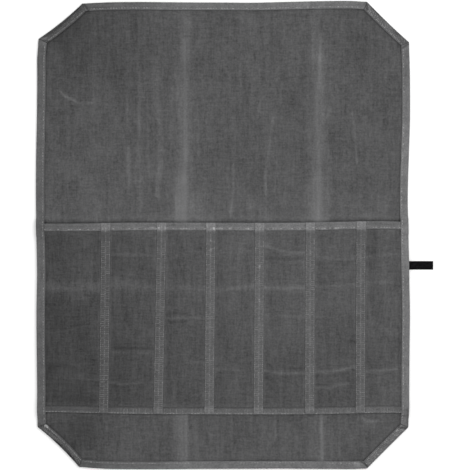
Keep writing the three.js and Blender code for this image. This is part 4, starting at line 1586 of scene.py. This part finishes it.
def divider_tape(roll, number, divider, material):
    """One flat tape between two pockets."""
    share, height = flat_profile(roll)
    below = np.linspace(0, roll.pocket.depth, 160)[:, None]
    offset = (share[None, :] - 0.5) * roll.tape.divider_width
    sections = divider_line(roll, divider, below + 0 * offset, offset, height[None, :])
    points, faces = swept_bar(sections)
    start = roll.stitch.ladder_start
    bare = ease((below - roll.mouth_reach) / TONE_RAMP) * ease((start - below) / TONE_RAMP)
    over_hem = ease((roll.mouth_reach - below) / TONE_RAMP)
    over_band = ease((below - roll.pocket.depth + roll.band_reach) / TONE_RAMP)
    tone = DIVIDER_TONE + OVER_HEM_LIGHT * over_hem + OVER_BAND_LIGHT * over_band
    tone = tone + lines_light(offset, *LADDER) * (1 - 0.4 * bare)
    tone = tone * lerp(divider.light, 1.0, over_hem)
    places = points.reshape(*tone.shape, 3)
    marks, _ = wear(places[..., 0], places[..., 1], TAPE_STREAKS)
    tone = tone * (1 + marks + cloth_tone_and_painted_shade(roll, places[..., 0], places[..., 1]))
    return add_piece(f"tape_divider_{number}", points, faces, material, tone.reshape(-1))


def tack_line(roll, divider, below, height):
    """Points across a divider's end on the pockets' mouth."""
    offset = np.linspace(-0.0055, 0.0055, 12)
    return divider_line(roll, divider, below + 0 * offset, offset, height)


def side_tab(roll, material):
    """The short black tape that lies under the right edge."""
    edge = roll.edges["right"]
    root = edge.side_x(roll.tab_height, roll.tab.tuck)
    tip = edge.side_x(roll.tab_height, -roll.tab.reach)
    share, height = flat_profile(roll, across=18)
    at = np.linspace(0, 1, 60)[:, None]
    x = lerp(root, tip, at) + 0 * share[None, :]
    y = roll.tab_height + (0.5 - share[None, :]) * roll.tab.width + 0 * x
    z = height[None, :] * roll.tab.thickness / roll.tape.thickness + 0 * x
    points, faces = swept_bar(np.stack([x, y, z], axis=-1))
    marks, _ = wear(x, y, TAB_STREAKS)
    return add_piece("tape_tab", points, faces, material, (1 + marks).reshape(-1))


def stitches_along(line, pitch, share, rng, sway=0.0001):
    """Both ends of the stitches along a line of points: one a pitch, each a share of it long."""
    step = np.linalg.norm(np.diff(line, axis=0), axis=1)
    run = np.concatenate([[0], np.cumsum(step)])
    count = max(1, int(run[-1] // pitch))
    middle = (np.arange(count) + 0.5) * run[-1] / count
    half = share * pitch / 2 * rng.uniform(0.85, 1.1, count)

    def at(distance):
        found = np.stack([np.interp(distance, run, line[:, k]) for k in range(3)], axis=-1)
        found[:, :2] += rng.uniform(-sway, sway, (count, 2))
        return found

    return at(middle - half), at(middle + half)


def rungs_between(first, second, pitch, rng):
    """Both ends of the threads that cross from one line of points to another. Some are missing."""
    start, _ = stitches_along(first, pitch, 0.0, rng, RUNG_SWAY)
    end, _ = stitches_along(second, pitch, 0.0, rng, RUNG_SWAY)
    count = min(len(start), len(end))
    shown = rng.uniform(0, 1, count) < RUNGS_SHOWN
    return start[:count][shown], end[:count][shown]


# One stitch: rings along it, from end to end, with their share of the thread's thickness
STITCH_RINGS = ((-0.82, 0.7), (-0.4, 1.0), (0.4, 1.0), (0.82, 0.7))
STITCH_SIDES = 6


def thread_piece(name, ends, thickness, material, rng, lights, uneven=0.4):
    """All the stitches of one seam, joined in one mesh. Each is a bowed thread between its ends,
    each set of ends has its own light and the stitches' light is uneven by a share."""
    start = np.concatenate([first for first, _ in ends])
    end = np.concatenate([second for _, second in ends])
    middle, half = (start + end) / 2, (end - start) / 2
    length = np.linalg.norm(half, axis=1, keepdims=True)
    along = half / length
    up = np.array([0.0, 0.0, 1.0])
    side = np.cross(along, up)
    side /= np.linalg.norm(side, axis=1, keepdims=True)
    rise = np.cross(side, along)
    radius = thickness / 2
    rings = []
    for at, share in STITCH_RINGS:
        bow = radius * (0.5 - 1.1 * at * at)
        for k in range(STITCH_SIDES):
            angle = 2 * math.pi * k / STITCH_SIDES
            ring = middle + half * at + rise * (bow + radius * share * math.sin(angle))
            rings.append(ring + side * radius * share * math.cos(angle))
    for tip in (-1, 1):
        rings.append(middle + half * tip - rise * radius * 0.7)
    points = np.stack(rings, axis=1)
    faces = []
    last = len(STITCH_RINGS) - 1
    for k in range(STITCH_SIDES):
        after = (k + 1) % STITCH_SIDES
        for ring in range(last):
            a, b = ring * STITCH_SIDES, (ring + 1) * STITCH_SIDES
            faces.append([a + k, b + k, b + after, a + after])
        tip = len(STITCH_RINGS) * STITCH_SIDES
        faces.append([k, after, tip])
        faces.append([last * STITCH_SIDES + after, last * STITCH_SIDES + k, tip + 1])
    per_stitch = points.shape[1]
    all_faces = [
        [corner + per_stitch * number for corner in face]
        for number in range(len(start)) for face in faces
    ]
    light = np.repeat(lights, [len(first) for first, _ in ends])
    marks, _ = wear(middle[:, 0], middle[:, 1], TAPE_STREAKS)
    light = light * np.maximum(0.1, 1 + marks)
    tone = np.repeat(light * rng.uniform(1 - uneven, 1 + uneven, len(start)), per_stitch)
    return add_piece(name, points.reshape(-1, 3), all_faces, material, tone)


def binding_seam(roll, edge, inset):
    """Line of points on a folded edge tape's upper leg, at a distance from its inner edge."""
    at = np.linspace(0.01, 0.99, 160)
    x, y = edge.point(at, roll.binding_width(edge.name) - inset)
    _, over = binding_levels(roll, edge, at)
    return np.stack([x, y, over + roll.tape_layer + 0 * x], axis=-1)


class KNIFEROLL_OT_edge_bindings(bpy.types.Operator):
    """Adds the eight tapes that are folded round the sheet's edges"""

    bl_idname = "knife_roll.edge_bindings"
    bl_label = "Edge Bindings"

    def execute(self, context):
        settings = context.scene.knife_roll
        roll = Roll(settings)
        material = finish_named("cotton_tape", settings.colours)
        for name in roll.edges:
            dress(edge_binding(roll, name, material), "tape", f"binding_{name}")
        return {"FINISHED"}


class KNIFEROLL_OT_base_canvas(bpy.types.Operator):
    """Adds the canvas sheet that everything is sewn to"""

    bl_idname = "knife_roll.base_canvas"
    bl_label = "Base Canvas"

    def execute(self, context):
        settings = context.scene.knife_roll
        roll = Roll(settings)
        cloth = base_canvas(roll, finish_named("waxed_canvas", settings.colours))
        dress(cloth, "canvas", "base_panel")
        return {"FINISHED"}


class KNIFEROLL_OT_pocket_canvas(bpy.types.Operator):
    """Adds the pocket sheet, with the tapes round its mouth and over its foot"""

    bl_idname = "knife_roll.pocket_canvas"
    bl_label = "Pocket Canvas"

    def execute(self, context):
        settings = context.scene.knife_roll
        roll = Roll(settings)
        panel = Panel(roll, roll.sheet.pitch)
        tape = finish_named("cotton_tape", settings.colours)
        canvas = finish_named("waxed_canvas", settings.colours)
        mouth = dress(mouth_binding(roll, panel, tape), "tape", "mouth_binding")
        foot = dress(foot_band(roll, panel, tape), "tape", "foot_band")
        cloth = dress(pocket_canvas(roll, panel, canvas), "canvas", "pocket_panel")
        return {"FINISHED"}


class KNIFEROLL_OT_dividers(bpy.types.Operator):
    """Adds the six tapes between the pockets"""

    bl_idname = "knife_roll.dividers"
    bl_label = "Dividers"

    def execute(self, context):
        settings = context.scene.knife_roll
        roll = Roll(settings)
        material = finish_named("cotton_tape", settings.colours)
        for number, divider in enumerate(DIVIDERS, start=1):
            dress(divider_tape(roll, number, divider, material), "tape", f"divider_{number}")
        return {"FINISHED"}


class KNIFEROLL_OT_side_tab(bpy.types.Operator):
    """Adds the short black tab"""

    bl_idname = "knife_roll.side_tab"
    bl_label = "Side Tab"

    def execute(self, context):
        settings = context.scene.knife_roll
        material = finish_named("black_webbing", settings.colours)
        dress(side_tab(Roll(settings), material), "black_tape", "side_tab")
        return {"FINISHED"}


class KNIFEROLL_OT_edge_stitches(bpy.types.Operator):
    """Adds the stitches along the edge tapes and the pockets' mouth"""

    bl_idname = "knife_roll.edge_stitches"
    bl_label = "Edge Stitches"

    def execute(self, context):
        settings = context.scene.knife_roll
        roll = Roll(settings)
        panel = Panel(roll, roll.sheet.pitch)
        stitch = roll.stitch
        material = finish_named("sewing_thread", settings.colours)
        rng = np.random.default_rng(7)
        for name, edge in roll.edges.items():
            line = binding_seam(roll, edge, stitch.seam_inset)
            ends = [stitches_along(line, stitch.seam_pitch, 0.8, rng)]
            # The thread takes part of its tape's tone, painted shade included.
            tape_tone = STRIPS[name].tone
            light = [0.3 + 0.7 * tape_tone]
            if name.startswith("corner"):
                inner = binding_seam(roll, edge, CORNER_INNER_ROW)
                outer = binding_seam(roll, edge, stitch.seam_inset + CORNER_OUTER_ROW)
                fold = binding_seam(roll, edge, stitch.seam_inset + CORNER_FOLD_ROW)
                ends.append(stitches_along(outer, stitch.ladder_pitch, 0.8, rng))
                ends.append(rungs_between(outer, fold, 0.9 * stitch.ladder_pitch, rng))
                ends.append(rungs_between(inner, outer, 0.9 * stitch.ladder_pitch, rng))
                light += [1.05 * tape_tone, 0.95 * tape_tone, 0.95 * tape_tone]
            seam = thread_piece(f"stitches_{name}", ends, stitch.thread, material, rng, light)
            dress(seam, "tape")
        below = roll.tape.mouth_width - stitch.seam_inset
        line = panel.row(below, roll.sheet.thickness + roll.tape_layer)
        ends = [stitches_along(line, stitch.seam_pitch, 0.8, rng)]
        thread = stitch.thread * 1.3
        dress(thread_piece("stitches_mouth", ends, thread, material, rng, [0.8], 0.5), "tape")
        return {"FINISHED"}


class KNIFEROLL_OT_ladder_stitches(bpy.types.Operator):
    """Adds the ladder stitches over the dividers and the foot tape"""

    bl_idname = "knife_roll.ladder_stitches"
    bl_label = "Ladder Stitches"

    def execute(self, context):
        settings = context.scene.knife_roll
        roll = Roll(settings)
        panel = Panel(roll, roll.sheet.pitch)
        stitch = roll.stitch
        material = finish_named("sewing_thread", settings.colours)
        rng = np.random.default_rng(11)
        top = roll.tape.thickness + roll.tape.crown / 2
        depth, pitch = roll.pocket.depth, stitch.ladder_pitch
        full = np.linspace(stitch.ladder_start, depth - 0.001, 200)
        whole = np.linspace(0.001, depth - 0.001, 220)
        light = [ROW_LIGHT] * 3 + [RUNG_LIGHT] * 2 + [TACK_LIGHT] * 2
        for number, divider in enumerate(DIVIDERS, start=1):
            left, centre, right = [
                divider_line(roll, divider, full, row.away, top) for row in LADDER
            ]
            middle = divider_line(roll, divider, whole, LADDER[1].away, top)
            ends = [stitches_along(line, pitch, 0.85, rng) for line in (left, middle, right)]
            ends.append(rungs_between(left, centre, pitch, rng))
            ends.append(rungs_between(centre, right, pitch, rng))
            for below in TACKS_BELOW:
                line = tack_line(roll, divider, below, top)
                ends.append(stitches_along(line, stitch.seam_pitch, 0.8, rng))
            ladder = thread_piece(f"stitches_divider_{number}", ends, stitch.thread * 0.7,
                                  material, rng, light, LADDER_UNEVEN)
            dress(ladder, "tape")
        level = roll.canvas_layer + top
        low, high = [panel.row(depth - inset, level) for inset in FOOT_ROWS]
        laddered = low[:, 0] > roll.divider_x(DIVIDERS[0], roll.foot_line, 0)
        ends = [
            stitches_along(low, stitch.foot_pitch, 0.85, rng),
            rungs_between(low[laddered], high[laddered], stitch.foot_pitch, rng),
        ]
        thread = stitch.thread * 0.8
        dress(thread_piece("stitches_foot", ends, thread, material, rng, [0.8, 0.5]), "tape")
        return {"FINISHED"}


class KNIFEROLL_OT_stage(bpy.types.Operator):
    """Adds the pale floor, the light and the camera straight above the roll"""

    bl_idname = "knife_roll.stage"
    bl_label = "Stage"

    def execute(self, context):
        scene = context.scene
        stage = scene.knife_roll.stage
        add_floor(stage)
        add_light(scene, stage)
        add_camera(scene, stage)
        scene.view_settings.view_transform = "Standard"
        return {"FINISHED"}


def add_floor(stage):
    """Flat square floor at the roll's underside."""
    half = stage.floor_side / 2
    corners = np.array([[-half, -half, 0], [half, -half, 0], [half, half, 0], [-half, half, 0]])
    floor = add_piece("floor", corners, [[0, 1, 2, 3]], floor_finish(stage))


def add_light(scene, stage):
    """Even light from all round and one large soft lamp."""
    world = bpy.data.worlds.new("studio")
    world.use_nodes = True
    background = world.node_tree.nodes["Background"]
    background.inputs["Color"].default_value = (1, 1, 1, 1)
    background.inputs["Strength"].default_value = stage.sky
    scene.world = world
    lamp_data = bpy.data.lights.new("lamp", "AREA")
    lamp_data.energy = stage.lamp_power
    lamp_data.size = stage.lamp_side
    lamp = bpy.data.objects.new("lamp", lamp_data)
    lamp.location = stage.lamp_place
    lamp.rotation_mode = "QUATERNION"
    lamp.rotation_quaternion = lamp.location.to_track_quat("Z", "Y")
    scene.collection.objects.link(lamp)


def add_camera(scene, stage):
    """Camera straight above the photograph's middle, at the distance that gives its scale."""
    data = bpy.data.cameras.new("camera")
    data.lens = stage.lens
    data.sensor_width = stage.sensor
    camera = bpy.data.objects.new("camera", data)
    x = (AIM[0] - PHOTO_MIDDLE[0]) * PHOTO_PIXEL
    y = (PHOTO_MIDDLE[1] - AIM[1]) * PHOTO_PIXEL
    camera.location = (x, y, PHOTO_SIDE * PHOTO_PIXEL * stage.lens / stage.sensor + TAPE_TOPS)
    scene.collection.objects.link(camera)
    scene.camera = camera


class KNIFEROLL_PT_panel(bpy.types.Panel):
    """Lists the knife roll's pieces in the sidebar"""

    bl_idname = "KNIFEROLL_PT_panel"
    bl_label = "Knife Roll"
    bl_space_type = "VIEW_3D"
    bl_region_type = "UI"
    bl_category = "Knife Roll"

    def draw(self, context):
        for operator in OPERATORS:
            self.layout.operator(operator.bl_idname)
        settings = context.scene.knife_roll
        for group in ("sheet", "tape", "pocket", "tab", "stitch", "colours", "stage"):
            box = self.layout.box()
            box.label(text=group.capitalize())
            values = getattr(settings, group)
            for name in values.__annotations__:
                box.prop(values, name)


OPERATORS = (
    KNIFEROLL_OT_edge_bindings,
    KNIFEROLL_OT_base_canvas,
    KNIFEROLL_OT_pocket_canvas,
    KNIFEROLL_OT_dividers,
    KNIFEROLL_OT_side_tab,
    KNIFEROLL_OT_edge_stitches,
    KNIFEROLL_OT_ladder_stitches,
    KNIFEROLL_OT_stage,
)
CLASSES = (
    SheetSizes,
    TapeSizes,
    PocketSizes,
    TabSizes,
    StitchSizes,
    ClothColours,
    StageSettings,
    KnifeRollSettings,
    *OPERATORS,
    KNIFEROLL_PT_panel,
)


def register():
    """Registers the classes and the scene's settings."""
    for cls in CLASSES:
        bpy.utils.register_class(cls)
    bpy.types.Scene.knife_roll = PointerProperty(type=KnifeRollSettings)


def unregister():
    """Takes the settings and the classes away again."""
    del bpy.types.Scene.knife_roll
    for cls in reversed(CLASSES):
        bpy.utils.unregister_class(cls)


def main():
    """Builds the whole roll on its stage."""
    register()
    bpy.ops.knife_roll.edge_bindings()
    bpy.ops.knife_roll.base_canvas()
    bpy.ops.knife_roll.pocket_canvas()
    bpy.ops.knife_roll.dividers()
    bpy.ops.knife_roll.side_tab()
    bpy.ops.knife_roll.edge_stitches()
    bpy.ops.knife_roll.ladder_stitches()
    bpy.ops.knife_roll.stage()


if __name__ == "__main__":
    main()
